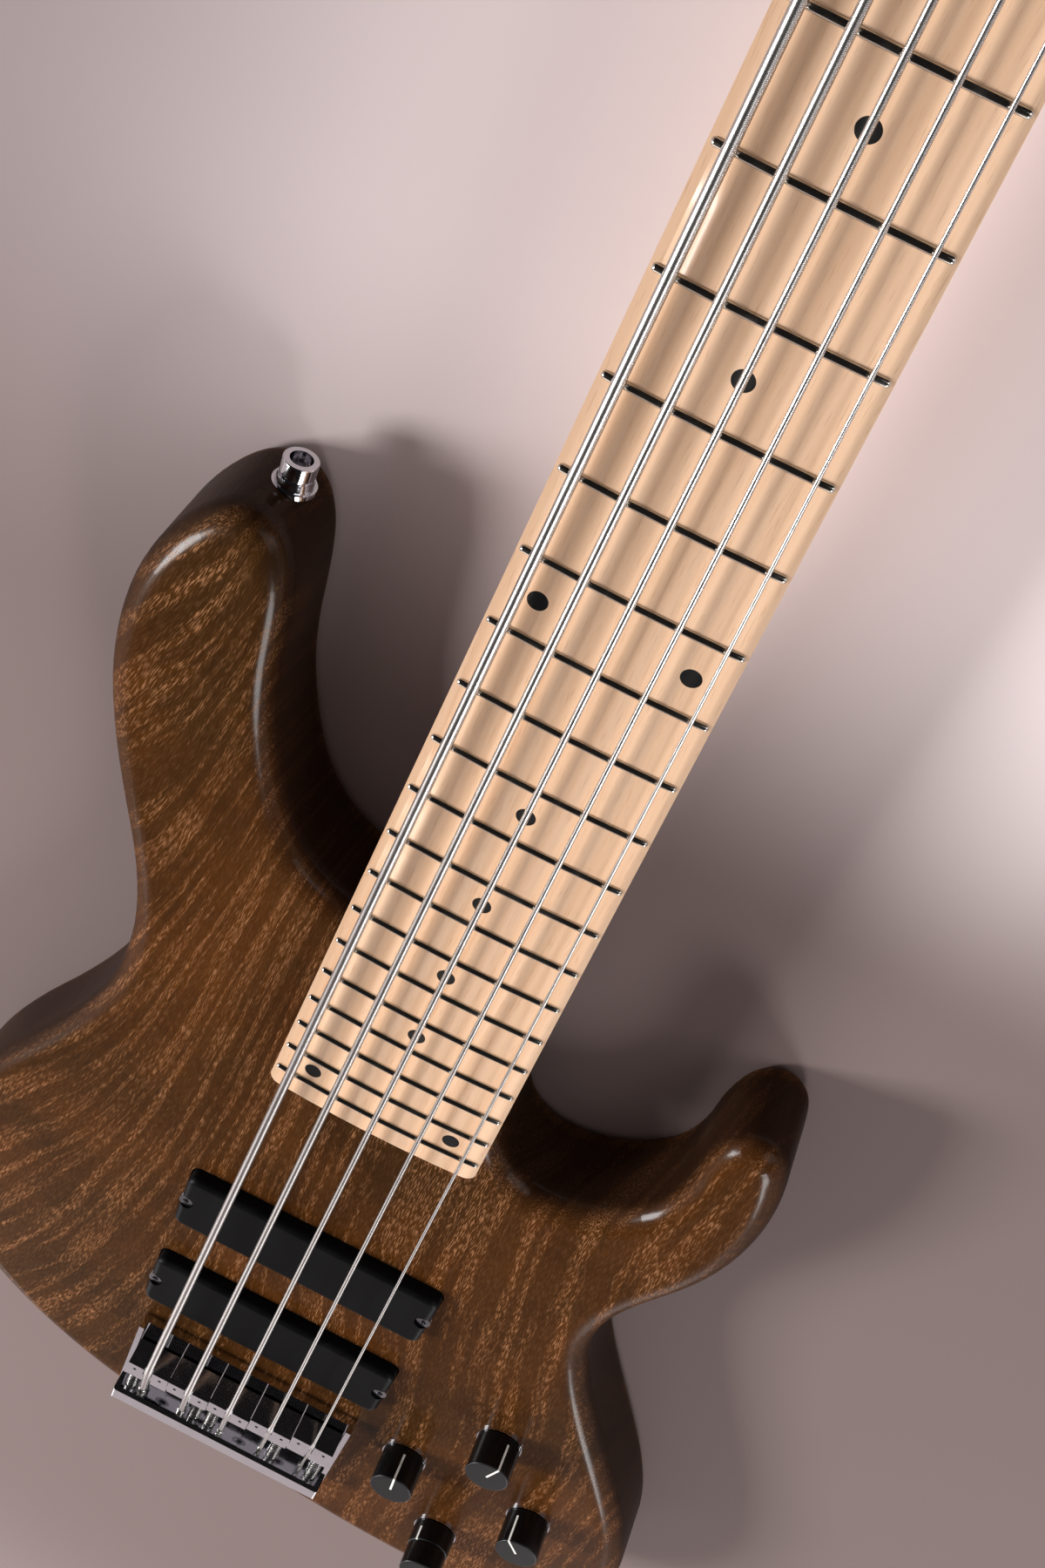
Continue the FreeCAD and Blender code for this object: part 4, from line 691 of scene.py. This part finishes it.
class Bench:
    """Edit-mode work on one piece at a time."""

    # Wires: order of the curve, share of the radius within which points are welded, smoothing angle
    WIRE_ORDER = 3
    WELD_SHARE = 0.002
    WIRE_ANGLE = 50.0

    @staticmethod
    def clear() -> None:
        """Deselects every object."""
        bpy.ops.object.select_all(action="DESELECT")

    @staticmethod
    def take(piece: Piece) -> None:
        """Makes a piece the only one selected, and active."""
        Bench.clear()
        piece.select_set(True)
        bpy.context.view_layer.objects.active = piece

    @staticmethod
    def name(piece: Piece, name: str) -> Piece:
        """Names a piece and its mesh."""
        piece.name = name
        piece.data.name = name
        return piece

    @staticmethod
    def edit(piece: Piece, kind: str) -> None:
        """Opens a piece in edit mode with everything selected.

        Args:
            piece: the piece to work on.
            kind: "VERT", "EDGE" or "FACE", what is selected by.
        """
        Bench.take(piece)
        bpy.ops.object.mode_set(mode="EDIT")
        bpy.ops.mesh.select_mode(type=kind)
        bpy.ops.mesh.select_all(action="SELECT")

    @staticmethod
    def close() -> None:
        """Leaves edit mode with the normals turned outwards."""
        bpy.ops.mesh.select_all(action="SELECT")
        bpy.ops.mesh.normals_make_consistent(inside=False)
        bpy.ops.object.mode_set(mode="OBJECT")

    @staticmethod
    def pick(piece: Piece, kind: str, test: Callable[..., bool]) -> None:
        """Selects only those points, edges or faces that pass a test.

        Args:
            piece: the piece in edit mode.
            kind: "VERT", "EDGE" or "FACE".
            test: takes a point, an edge or a face.
        """
        bpy.ops.mesh.select_mode(type=kind)
        bpy.ops.mesh.select_all(action="DESELECT")
        cage = bmesh.from_edit_mesh(piece.data)
        for element in {"VERT": cage.verts, "EDGE": cage.edges, "FACE": cage.faces}[kind]:
            if test(element):
                element.select_set(True)
        bmesh.update_edit_mesh(piece.data)

    @staticmethod
    def block(name: str, size: Triple, middle: Triple, kind: str) -> Piece:
        """Starts a piece as a block, open in edit mode with everything selected.

        Args:
            name: name of the piece.
            size: its three lengths in metres.
            middle: where its middle is.
            kind: "VERT", "EDGE" or "FACE", what is selected by.

        Returns:
            The block.
        """
        Bench.clear()
        bpy.ops.mesh.primitive_cube_add(size=1.0)
        made = Bench.name(bpy.context.object, name)
        Bench.edit(made, kind)
        bpy.ops.transform.resize(value=size)
        bpy.ops.transform.translate(value=middle)
        return made

    @staticmethod
    def settle(piece: Piece) -> None:
        """Moves a piece's place and turn into its mesh."""
        Bench.take(piece)
        bpy.ops.object.transform_apply(location=True, rotation=True, scale=True)

    @staticmethod
    def smooth(piece: Piece, angle: float) -> None:
        """Smooths the shading of edges below an angle in degrees."""
        Bench.take(piece)
        bpy.ops.object.shade_smooth_by_angle(angle=math.radians(angle))

    @staticmethod
    def copy(piece: Piece, name: str) -> Piece:
        """Copies a piece with a mesh of its own."""
        twin = piece.copy()
        twin.data = piece.data.copy()
        bpy.context.collection.objects.link(twin)
        return Bench.name(twin, name)

    @staticmethod
    def join(pieces: Sequence[Piece], name: str) -> Piece:
        """Joins pieces into the first one."""
        Bench.take(pieces[0])
        for piece in pieces[1:]:
            piece.select_set(True)
        bpy.ops.object.join()
        return Bench.name(pieces[0], name)

    @staticmethod
    def wire(name: str, points: Sequence[Vector], radius: float, sides: int, steps: int) -> Piece:
        """Round wire along a smooth line.

        Args:
            name: name of the piece.
            points: control points of the line, in metres.
            radius: half the wire's thickness.
            sides: how finely the wire is rounded.
            steps: how finely the line is divided between points.

        Returns:
            The wire as a mesh piece.
        """
        line = bpy.data.curves.new(name, "CURVE")
        line.dimensions = "3D"
        spline = line.splines.new("NURBS")
        spline.points.add(len(points) - 1)
        for knot, point in zip(spline.points, points):
            knot.co = (point.x, point.y, point.z, 1.0)
        spline.order_u = Bench.WIRE_ORDER
        spline.use_endpoint_u = True
        spline.resolution_u = steps
        line.bevel_depth = radius
        line.bevel_resolution = sides
        line.use_fill_caps = True
        piece = bpy.data.objects.new(name, line)
        bpy.context.collection.objects.link(piece)
        Bench.take(piece)
        bpy.ops.object.convert(target="MESH")
        made = Bench.name(bpy.context.view_layer.objects.active, name)
        Bench.edit(made, "VERT")
        bpy.ops.mesh.remove_doubles(threshold=radius * Bench.WELD_SHARE)
        Bench.close()
        Bench.smooth(made, Bench.WIRE_ANGLE)
        return made


@dataclass
class Assembly:
    """A group of pieces that share a palette."""

    palette: Palette

    def keep(self, piece: Piece, body: str, finish: Finish, slot: str, *nodes: str) -> None:
        """Finishes a new piece and hands it to a body.

        Args:
            piece: the modelled piece.
            body: name of the body it moves with.
            finish: what it is made of.
            slot: not used.
            nodes: nodes of the frame that it stands for.
        """
        self.palette.dress(piece, finish)
        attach(piece, body)
        if nodes:
            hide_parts(*nodes)
        LOG.info("piece %s: %d faces on %s", piece.name, len(piece.data.polygons), body)


# Neck

@dataclass
class Fingerboard(Assembly):
    """Frets with rounded ends over the crowned board."""

    scale_length: float = 863.6 * MM
    steps_to_octave: int = 12
    count: int = 24
    nut_width: float = 45.0 * MM
    last_width: float = 77.6 * MM
    inset: float = 0.7 * MM
    board_top: float = 51.5 * MM
    crown_radius: float = 508.0 * MM
    wire_width: float = 2.4 * MM
    wire_height: float = 1.1 * MM
    wire_segments: int = 24
    wire_rings: int = 16
    wire_angle: float = 60.0
    model_half: float = 30.0 * MM
    middle_half: float = 0.048 * MM
    sections: int = 9

    def fret_place(self, number: int) -> float:
        """Distance of a fret from the bridge end of the scale."""
        return self.scale_length * 2 ** (-number / self.steps_to_octave)

    def half_width(self, y: float) -> float:
        """Half the board's width at a place along it."""
        run = self.scale_length - self.fret_place(self.count)
        grow = (self.last_width - self.nut_width) / run
        return (self.nut_width + grow * (self.scale_length - y)) / 2

    def drop(self, x: float) -> float:
        """How far the crowned board lies below its top at a distance from the middle."""
        return self.crown_radius - math.sqrt(self.crown_radius ** 2 - x * x)

    def model_wire(self) -> Piece:
        """Models one straight fret wire with ball ends, lying along X."""
        radius = self.wire_width / 2
        reach = self.model_half - radius
        Bench.clear()
        bpy.ops.mesh.primitive_uv_sphere_add(segments=self.wire_segments, ring_count=self.wire_rings,
                                             radius=radius, rotation=(0.0, math.pi / 2, 0.0))
        wire = Bench.name(bpy.context.object, "fret_model")
        Bench.settle(wire)
        Bench.edit(wire, "VERT")
        bpy.ops.transform.resize(value=(1.0, 1.0, self.wire_height / radius))
        bpy.ops.mesh.bisect(plane_co=(0.0, 0.0, 0.0), plane_no=(0.0, 0.0, 1.0),
                            clear_inner=True, use_fill=True)
        for side in (-1.0, 1.0):
            Bench.pick(wire, "VERT", lambda point: point.co.x * side > self.middle_half)
            bpy.ops.transform.translate(value=(side * reach, 0.0, 0.0))
        Bench.pick(wire, "EDGE", lambda edge: abs(edge.verts[0].co.x - edge.verts[1].co.x) > reach / 2)
        bpy.ops.mesh.subdivide(number_cuts=self.sections)
        Bench.close()
        Bench.smooth(wire, self.wire_angle)
        return wire

    def fit_wire(self, wire: Piece, number: int) -> None:
        """Stretches a copy to its place on the board and bends it over the crown.

        Args:
            wire: a copy of the model.
            number: the fret's number from the nut.
        """
        y = self.fret_place(number)
        half = self.half_width(y) - self.inset
        inner = self.model_half - self.wire_width
        for point in wire.data.vertices:
            x = point.co.x
            held = max(-inner, min(inner, x))
            x += held * (half - self.model_half) / inner
            point.co = Vector((x, y + point.co.y, self.board_top - self.drop(x) + point.co.z))

    def build(self) -> None:
        """Builds the frets as one piece."""
        model = self.model_wire()
        wires = [Bench.copy(model, f"fret_{number}") for number in range(1, self.count + 1)]
        for number, wire in enumerate(wires, start=1):
            self.fit_wire(wire, number)
        bpy.data.objects.remove(model)
        frets = Bench.join(wires, "fret_wires")
        self.keep(frets, INSTRUMENT, NICKEL, "fret_wire", "frets")


# Strings

@dataclass
class StringSet(Assembly):
    """Five wound strings from the bridge wall over saddle and nut to their posts."""

    board: Fingerboard
    gauges: Tuple[float, ...] = (3.3 * MM, 2.7 * MM, 2.1 * MM, 1.65 * MM, 1.15 * MM)
    setbacks: Tuple[float, ...] = (5.5 * MM, 4.2 * MM, 3.0 * MM, 1.6 * MM, 0.4 * MM)
    post_across: Tuple[float, ...] = (-26.964 * MM, -22.008 * MM, -16.968 * MM, 21.0 * MM, 26.964 * MM)
    post_along: Tuple[float, ...] = (48.0 * MM, 92.0 * MM, 136.0 * MM, 114.0 * MM, 70.0 * MM)
    string_sides: int = 4
    string_steps: int = 4
    saddle_spacing: float = 18.6 * MM
    nut_spacing: float = 9.0 * MM
    saddle_action: float = 3.2 * MM
    nut_action: float = 0.4 * MM
    anchor_y: float = -39.8 * MM
    exit_drop: float = 7.2 * MM
    retainer_setback: float = 22.0 * MM
    retainer_bottom: float = 51.0 * MM
    rest_gap: float = 0.3 * MM
    bend_gauges: float = 2.0
    post_reach: float = 5.3 * MM
    turns: int = 2
    points_per_turn: int = 12
    turn_air: float = 0.8 * MM
    twist_turns: int = 7
    twist_wire: float = 0.42 * MM
    twist_proud: float = 0.3
    twist_start: float = 1.6 * MM
    twist_length: float = 11.0 * MM
    twist_sides: int = 1
    twist_steps: int = 2

    def place(self, string: StringName, spacing: float) -> float:
        """Distance of a string from the middle line."""
        return (string.value - StringName.A.value) * spacing

    def over_board(self, x: float, action: float, gauge: float) -> float:
        """Height of a string's middle over the crowned frets."""
        return self.board.board_top - self.board.drop(x) + self.board.wire_height + action + gauge / 2

    def crest(self, string: StringName) -> Vector:
        """Where a string bends over its saddle."""
        x = self.place(string, self.saddle_spacing)
        height = self.over_board(x, self.saddle_action, self.gauges[string.value])
        return Vector((x, -self.setbacks[string.value], height))

    def nut(self, string: StringName) -> Vector:
        """Where a string bends over the nut."""
        x = self.place(string, self.nut_spacing)
        height = self.over_board(x, self.nut_action, self.gauges[string.value])
        return Vector((x, self.board.scale_length, height))

    def anchor(self, string: StringName) -> Vector:
        """Where a string leaves its ball end."""
        crest = self.crest(string)
        return Vector((crest.x, self.anchor_y, crest.z - self.exit_drop))

    def winding(self, string: StringName) -> Tuple[Vector, List[Vector]]:
        """Control points of the turns round a post.

        Args:
            string: which string.

        Returns:
            The point just before the string touches its post, and the points of its turns.
        """
        gauge = self.gauges[string.value]
        nut = self.nut(string)
        across, along = self.post_across[string.value], self.post_along[string.value]
        side = -1.0 if across < 0 else 1.0
        radius = self.post_reach + gauge / 2
        centre = Vector((across, self.board.scale_length + along,
                         self.retainer_bottom - gauge / 2 - self.rest_gap))
        reach = Vector((centre.x - nut.x, centre.y - nut.y, 0.0))
        start = math.atan2(-reach.y, -reach.x) - side * math.acos(radius / reach.length)
        touch = centre + Vector((radius * math.cos(start), radius * math.sin(start), 0.0))
        way = Vector((touch.x - nut.x, touch.y - nut.y, 0.0)).normalized()
        step = math.tau / self.points_per_turn
        outer = radius / math.cos(step / 2)
        rise = (gauge + self.turn_air) / self.points_per_turn
        turns = []
        for index in range(self.turns * self.points_per_turn):
            angle = start - side * step * (index + HALF)
            offset = Vector((outer * math.cos(angle), outer * math.sin(angle), rise * (index + HALF)))
            turns.append(centre + offset)
        return touch - way * (radius * math.tan(step / 2)), turns

    def route(self, string: StringName) -> List[Vector]:
        """Control points of a whole string, with one close to each bend."""
        anchor, crest, nut = self.anchor(string), self.crest(string), self.nut(string)
        before_post, turns = self.winding(string)
        share = self.retainer_setback / (before_post.y - nut.y)
        under = Vector((nut.x + (before_post.x - nut.x) * share, nut.y + self.retainer_setback,
                        before_post.z))
        near = self.bend_gauges * self.gauges[string.value]
        speaking = (nut - crest).normalized()
        return [anchor, crest + (anchor - crest).normalized() * near, crest, crest + speaking * near,
                nut - speaking * near, nut, nut + (under - nut).normalized() * near,
                under + (nut - under).normalized() * near, under,
                under + (before_post - under).normalized() * near, before_post] + turns

    def twist(self, string: StringName) -> List[Vector]:
        """Control points of the wrap that locks a string's ball end."""
        anchor, crest = self.anchor(string), self.crest(string)
        way = (crest - anchor).normalized()
        side = way.cross(Vector((0.0, 0.0, 1.0))).normalized()
        up = side.cross(way)
        step = math.tau / self.points_per_turn
        radius = (self.gauges[string.value] / 2 + self.twist_wire * self.twist_proud) / math.cos(step / 2)
        count = self.twist_turns * self.points_per_turn
        first = anchor + way * self.twist_start
        return [first + way * (self.twist_length * index / count)
                + side * (radius * math.cos(step * index)) + up * (radius * math.sin(step * index))
                for index in range(count + 1)]

    def build(self) -> None:
        """Builds the strings with their lock wraps."""
        for string in StringName:
            run = Bench.wire(f"{string.label}_string", self.route(string), self.gauges[string.value] / 2,
                             self.string_sides, self.string_steps)
            self.keep(run, INSTRUMENT, WOUND, "string_metal", "strings")
            wrap = Bench.wire(f"{string.label}_lock_wrap", self.twist(string), self.twist_wire / 2,
                              self.twist_sides, self.twist_steps)
            self.keep(wrap, INSTRUMENT, SPRING_STEEL, "string_metal")


# Bridge

@dataclass
class Bridge(Assembly):
    """Springs on the intonation screws, between the bridge's wall and its saddles."""

    strings: StringSet
    wall_front: float = -36.3 * MM
    wall_gap: float = 0.02 * MM
    saddle_gap: float = 0.3 * MM
    saddle_depth: float = 18.0 * MM
    saddle_travel: float = 3.0 * MM
    axis_height: float = 48.0 * MM
    axis_offset: float = 5.6 * MM
    axis_sides: Tuple[int, ...] = (-1, 1, -1, 1, 1)
    spring_radius: float = 2.3 * MM
    spring_wire: float = 0.6 * MM
    spring_curls: int = 10
    spring_sides: int = 2
    spring_steps: int = 3
    points_per_curl: int = 12

    def spring_room(self, string: StringName) -> float:
        """Length of a spring at rest."""
        rear = -self.strings.setbacks[string.value] - self.saddle_depth
        return rear - self.saddle_gap - self.wall_front - self.wall_gap

    def spring_route(self, string: StringName) -> List[Vector]:
        """Control points of a spring's curls."""
        x = self.strings.place(string, self.strings.saddle_spacing)
        x += self.axis_sides[string.value] * self.axis_offset
        step = math.tau / self.points_per_curl
        radius = self.spring_radius / math.cos(step / 2)
        start = self.wall_front + self.wall_gap + self.spring_wire / 2
        count = self.spring_curls * self.points_per_curl
        rise = (self.spring_room(string) - self.spring_wire) / count
        return [Vector((x + radius * math.cos(step * index), start + rise * index,
                        self.axis_height - radius * math.sin(step * index))) for index in range(count + 1)]

    def build(self) -> None:
        """Builds the springs, each squashed by its saddle."""
        for string in StringName:
            route = self.spring_route(string)
            spring = Bench.wire(f"{string.label}_spring", route, self.spring_wire / 2,
                                self.spring_sides, self.spring_steps)
            self.keep(spring, INSTRUMENT, SPRING_STEEL, "steel", "intonation_springs")
            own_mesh(spring)


# Pickups

@dataclass
class Pickups(Assembly):
    """Foam pads under the two pickups."""

    centres: Tuple[float, ...] = (107.0 * MM, 46.0 * MM)
    pad_half: Tuple[float, float] = (44.0 * MM, 12.0 * MM)
    pad_bottom: float = 21.0 * MM
    pad_top: float = 30.8 * MM
    pad_round: float = 1.2 * MM
    pad_round_steps: int = 2
    pad_pinch: float = 0.7 * MM
    pad_side: float = 0.9
    pad_crown: int = 4
    pad_angle: float = 50.0
    long_edge: float = 3.6 * MM
    cuts: int = 5

    def model_pad(self) -> Piece:
        """Models one foam pad, crowned on top and drawn in at its sides."""
        height = self.pad_top - self.pad_bottom
        size = (2 * self.pad_half[0], 2 * self.pad_half[1], height)
        pad = Bench.block("foam_model", size, (0.0, 0.0, self.pad_bottom + height / 2), "VERT")
        bpy.ops.mesh.bevel(offset=self.pad_round, segments=self.pad_round_steps, affect="EDGES")
        Bench.pick(pad, "EDGE", lambda edge: edge.calc_length() > self.long_edge)
        bpy.ops.mesh.subdivide(number_cuts=self.cuts)
        Bench.close()
        for point in pad.data.vertices:
            level = (point.co.z - self.pad_bottom) / height
            edge = max(abs(point.co.x) / self.pad_half[0], abs(point.co.y) / self.pad_half[1])
            pinch = self.pad_pinch * math.sin(math.pi * max(0.0, min(1.0, level)))
            for axis, half in enumerate(self.pad_half):
                if abs(point.co[axis]) > half * self.pad_side:
                    point.co[axis] -= math.copysign(pinch, point.co[axis])
            point.co.z -= self.pad_pinch * level * edge ** self.pad_crown
        Bench.smooth(pad, self.pad_angle)
        return pad

    def build(self) -> None:
        """Builds one pad for each pickup."""
        model = self.model_pad()
        for name, centre in zip(PICKUP_NAMES, self.centres):
            pad = Bench.copy(model, f"{name}_pickup_pad")
            pad.data.transform(Matrix.Translation((0.0, centre, 0.0)))
            self.keep(pad, INSTRUMENT, FOAM, "foam", "pickup_foam")
        bpy.data.objects.remove(model)


# Controls

@dataclass(frozen=True)
class Knob:
    """One knob's place, the angle of its pointer line, its size and where that line starts."""

    node: str
    across: float
    along: float
    angle: float
    radius: float = 9.1 * MM
    bottom: float = 42.3 * MM
    top: float = 57.3 * MM
    start: float = 0.0


@dataclass
class Controls(Assembly):
    """Knobs with white pointer lines."""

    line_width: float = 0.9 * MM
    line_depth: float = 0.3 * MM
    line_sink: float = 0.04 * MM
    line_round: float = 0.55 * MM
    line_round_steps: int = 4
    line_start: float = 3.0 * MM
    line_angle: float = 30.0
    downward: float = -0.9
    knobs: Tuple[Knob, ...] = (
        Knob("volume_knob", 73.2 * MM, 2.0 * MM, 96.0),
        Knob("blend_knob", 102.0 * MM, 46.5 * MM, 74.0),
        Knob("mid_knob", 130.8 * MM, 2.0 * MM, 129.0),
        Knob("bass_ring", 102.0 * MM, -42.5 * MM, 139.0, top=51.7 * MM, start=8.2 * MM),
        Knob("treble_knob", 102.0 * MM, -42.5 * MM, 270.0, 8.7 * MM, 52.0 * MM, 62.2 * MM),
    )

    def model_line(self, knob: Knob) -> Piece:
        """Models the fill of a pointer groove: across the top and down the side.

        Args:
            knob: the knob whose groove is filled.

        Returns:
            The line, in its place.
        """
        reach = knob.radius - self.line_sink
        thick = self.line_depth - self.line_sink
        top = knob.top - self.line_sink
        line = Bench.block(f"{knob.node}_line", (reach - knob.start, self.line_width, thick),
                           ((reach + knob.start) / 2, 0.0, top - thick / 2), "FACE")
        bpy.ops.mesh.bisect(plane_co=(reach - thick, 0.0, 0.0), plane_no=(1.0, 0.0, 0.0))
        Bench.pick(line, "FACE", lambda face: face.normal.z < self.downward
                   and face.calc_center_median().x > reach - thick)
        fall = knob.bottom + self.line_start + self.line_sink - (top - thick)
        bpy.ops.mesh.extrude_region_move(TRANSFORM_OT_translate={"value": (0.0, 0.0, fall)})
        Bench.pick(line, "EDGE", lambda edge: min(point.co.x for point in edge.verts) > reach - thick / 2
                   and min(point.co.z for point in edge.verts) > top - thick / 2)
        bpy.ops.mesh.bevel(offset=self.line_round, segments=self.line_round_steps, affect="EDGES",
                           clamp_overlap=False)
        Bench.close()
        line.rotation_euler = (0.0, 0.0, math.radians(knob.angle))
        line.location = (knob.across, knob.along, 0.0)
        Bench.settle(line)
        Bench.smooth(line, self.line_angle)
        return line

    def build(self) -> None:
        """Builds the pointer lines and dresses each knob by its own top."""
        for knob in self.knobs:
            self.keep(self.model_line(knob), knob.node, POINTER, "nut_white")
            self.palette.dress_nodes(TurnedKnob(f"{knob.node}_black", knob.top), knob.node)


# Studio

@dataclass(frozen=True)
class Softbox:
    """A square lamp that looks at the middle of the body."""

    name: str
    place: Triple
    size: float
    power: float


@dataclass
class Studio:
    """Pale floor, soft lamps and the camera at the photograph's angle."""

    floor_level: float = -0.4 * MM
    floor_size: float = 9.0
    floor_cuts: int = 4
    aim: Triple = (0.02, 0.2, 0.04)
    floor_colour: Colour = shade(184, 169, 168)
    floor_reach: Span = (0.2, 0.9)
    # Painted light and shade near the bass: darker on the left and towards the body's end, paler on the
    # right against the shadow of the neck and horns
    floor_shaded_left: Colour = shade(140, 125, 125)
    floor_lit_right: Colour = shade(246, 231, 230)
    floor_shaded_tail: Colour = shade(115, 98, 95)
    floor_shade_fade: Span = (0.12, 0.30)
    floor_light_turn: Span = (-0.26, 0.06)
    mottle: Lumps = Lumps(3.0)
    mottle_fade: float = 0.08
    floor_rough: Weights = (0.8, 0.1)
    wall_colour: Colour = shade(206, 192, 192)
    dark_colour: Colour = shade(26, 24, 24)
    wall_fade: Span = (0.45, 0.56)
    room_fade: Span = (0.2, 0.6)
    room_light: Colour = (0.36, 0.345, 0.35, 1.0)
    boxes: Tuple[Softbox, ...] = (
        Softbox("key", (-1.5, -0.3, 1.1), 0.55, 48.0),
        Softbox("side", (1.2, -0.85, 1.15), 0.5, 17.0),
        Softbox("far", (1.7, 1.3, 1.5), 1.4, 11.0),
        Softbox("tail_left", (-0.62, -1.3, 0.38), 0.6, 1.8),
        Softbox("tail_right", (0.66, -1.3, 0.38), 0.6, 1.8),
    )
    camera_place: Triple = (3.9 * MM, 760.0 * MM, 447.9 * MM)
    camera_right: Triple = (0.8916, 0.3187, -0.3216)
    camera_up: Triple = (-0.4525, 0.6527, -0.6076)
    camera_back: Triple = (0.0162, 0.6873, 0.7262)
    camera_start: float = 10.0 * MM
    lens: float = 45.08
    sensor: float = 24.0

    def lay_floor(self) -> None:
        """Lays one large sheet, plain but for painted light and shade near the bass.

        There it turns paler from left to right and deeper towards the body's end: painted shade on the left
        and at the end, painted light on the right against the shadow of the neck and horns.
        """
        Bench.clear()
        bpy.ops.mesh.primitive_grid_add(x_subdivisions=self.floor_cuts, y_subdivisions=self.floor_cuts,
                                        size=self.floor_size,
                                        location=(self.aim[0], self.aim[1], self.floor_level))
        floor = Bench.name(bpy.context.object, "floor")
        graph = Graph("floor_painted_light_and_shade")
        place = graph.place()
        mottle = graph.noise(place, self.mottle)
        x, y, _ = graph.axes(place)
        # Painted shade on the left and towards the body's end, painted light on the right
        pale = graph.mix(x.step(*self.floor_light_turn), self.floor_shaded_left, self.floor_lit_right)
        shade_lift = (y + (mottle - HALF) * self.mottle_fade).step(*self.floor_shade_fade)
        near = graph.mix(shade_lift, self.floor_shaded_tail, pale)
        away = (x * x + y * y).step(*self.floor_reach)
        graph.set(Base_Color=graph.mix(away, near, self.floor_colour),
                  Roughness=graph.blend(self.floor_rough, mottle))
        floor.data.materials.append(graph.material)

    def hang_lamps(self) -> None:
        """Hangs the soft lamps."""
        for box in self.boxes:
            lamp = bpy.data.lights.new(box.name, "AREA")
            lamp.shape = "SQUARE"
            lamp.size = box.size
            lamp.energy = box.power
            stand = bpy.data.objects.new(box.name, lamp)
            stand.location = box.place
            look = Vector(self.aim) - Vector(box.place)
            stand.rotation_euler = look.to_track_quat("-Z", "Y").to_euler()
            bpy.context.collection.objects.link(stand)

    def paint_room(self) -> None:
        """Lights the room evenly; what mirrors is pale low down beyond the body and dark elsewhere."""
        world = bpy.data.worlds.new("room")
        graph = Graph("room", world)
        _, along, height = graph.axes(graph.node("ShaderNodeTexCoord", output="Generated"))
        dark = height.step(*self.wall_fade).most(along.step(*self.room_fade))
        mirrored = graph.mix(dark, self.wall_colour, self.dark_colour)
        unseen = graph.mix(graph.ray("Is Glossy Ray"), self.room_light, mirrored)
        graph.set(Color=graph.mix(graph.ray("Is Camera Ray"), unseen, self.wall_colour))
        bpy.context.scene.world = world

    def set_camera(self) -> None:
        """Stands the camera where the photograph was taken."""
        lens = bpy.data.cameras.new("camera")
        lens.sensor_fit = "HORIZONTAL"
        lens.sensor_width = self.sensor
        lens.lens = self.lens
        lens.clip_start = self.camera_start
        camera = bpy.data.objects.new("camera", lens)
        turn = Matrix((self.camera_right, self.camera_up, self.camera_back)).transposed()
        camera.matrix_world = Matrix.Translation(self.camera_place) @ turn.to_4x4()
        bpy.context.collection.objects.link(camera)
        bpy.context.scene.camera = camera

    def build(self) -> None:
        """Sets up the floor, lamps, room, camera and display."""
        self.lay_floor()
        self.hang_lamps()
        self.paint_room()
        self.set_camera()
        bpy.context.scene.view_settings.view_transform = "Standard"


def main() -> None:
    """Dresses the frame's nodes, builds every group in order and reports each piece."""
    logging.basicConfig(level=logging.INFO, format="%(name)s: %(message)s")
    Studio().build()
    palette = Palette()
    for finish, names in NODE_FINISHES.items():
        palette.dress_nodes(finish, *names)
    board = Fingerboard(palette)
    strings = StringSet(palette, board)
    for group in (board, strings, Bridge(palette, strings), Pickups(palette), Controls(palette)):
        LOG.info("building %s", type(group).__name__)
        group.build()


if __name__ == "__main__":
    main()
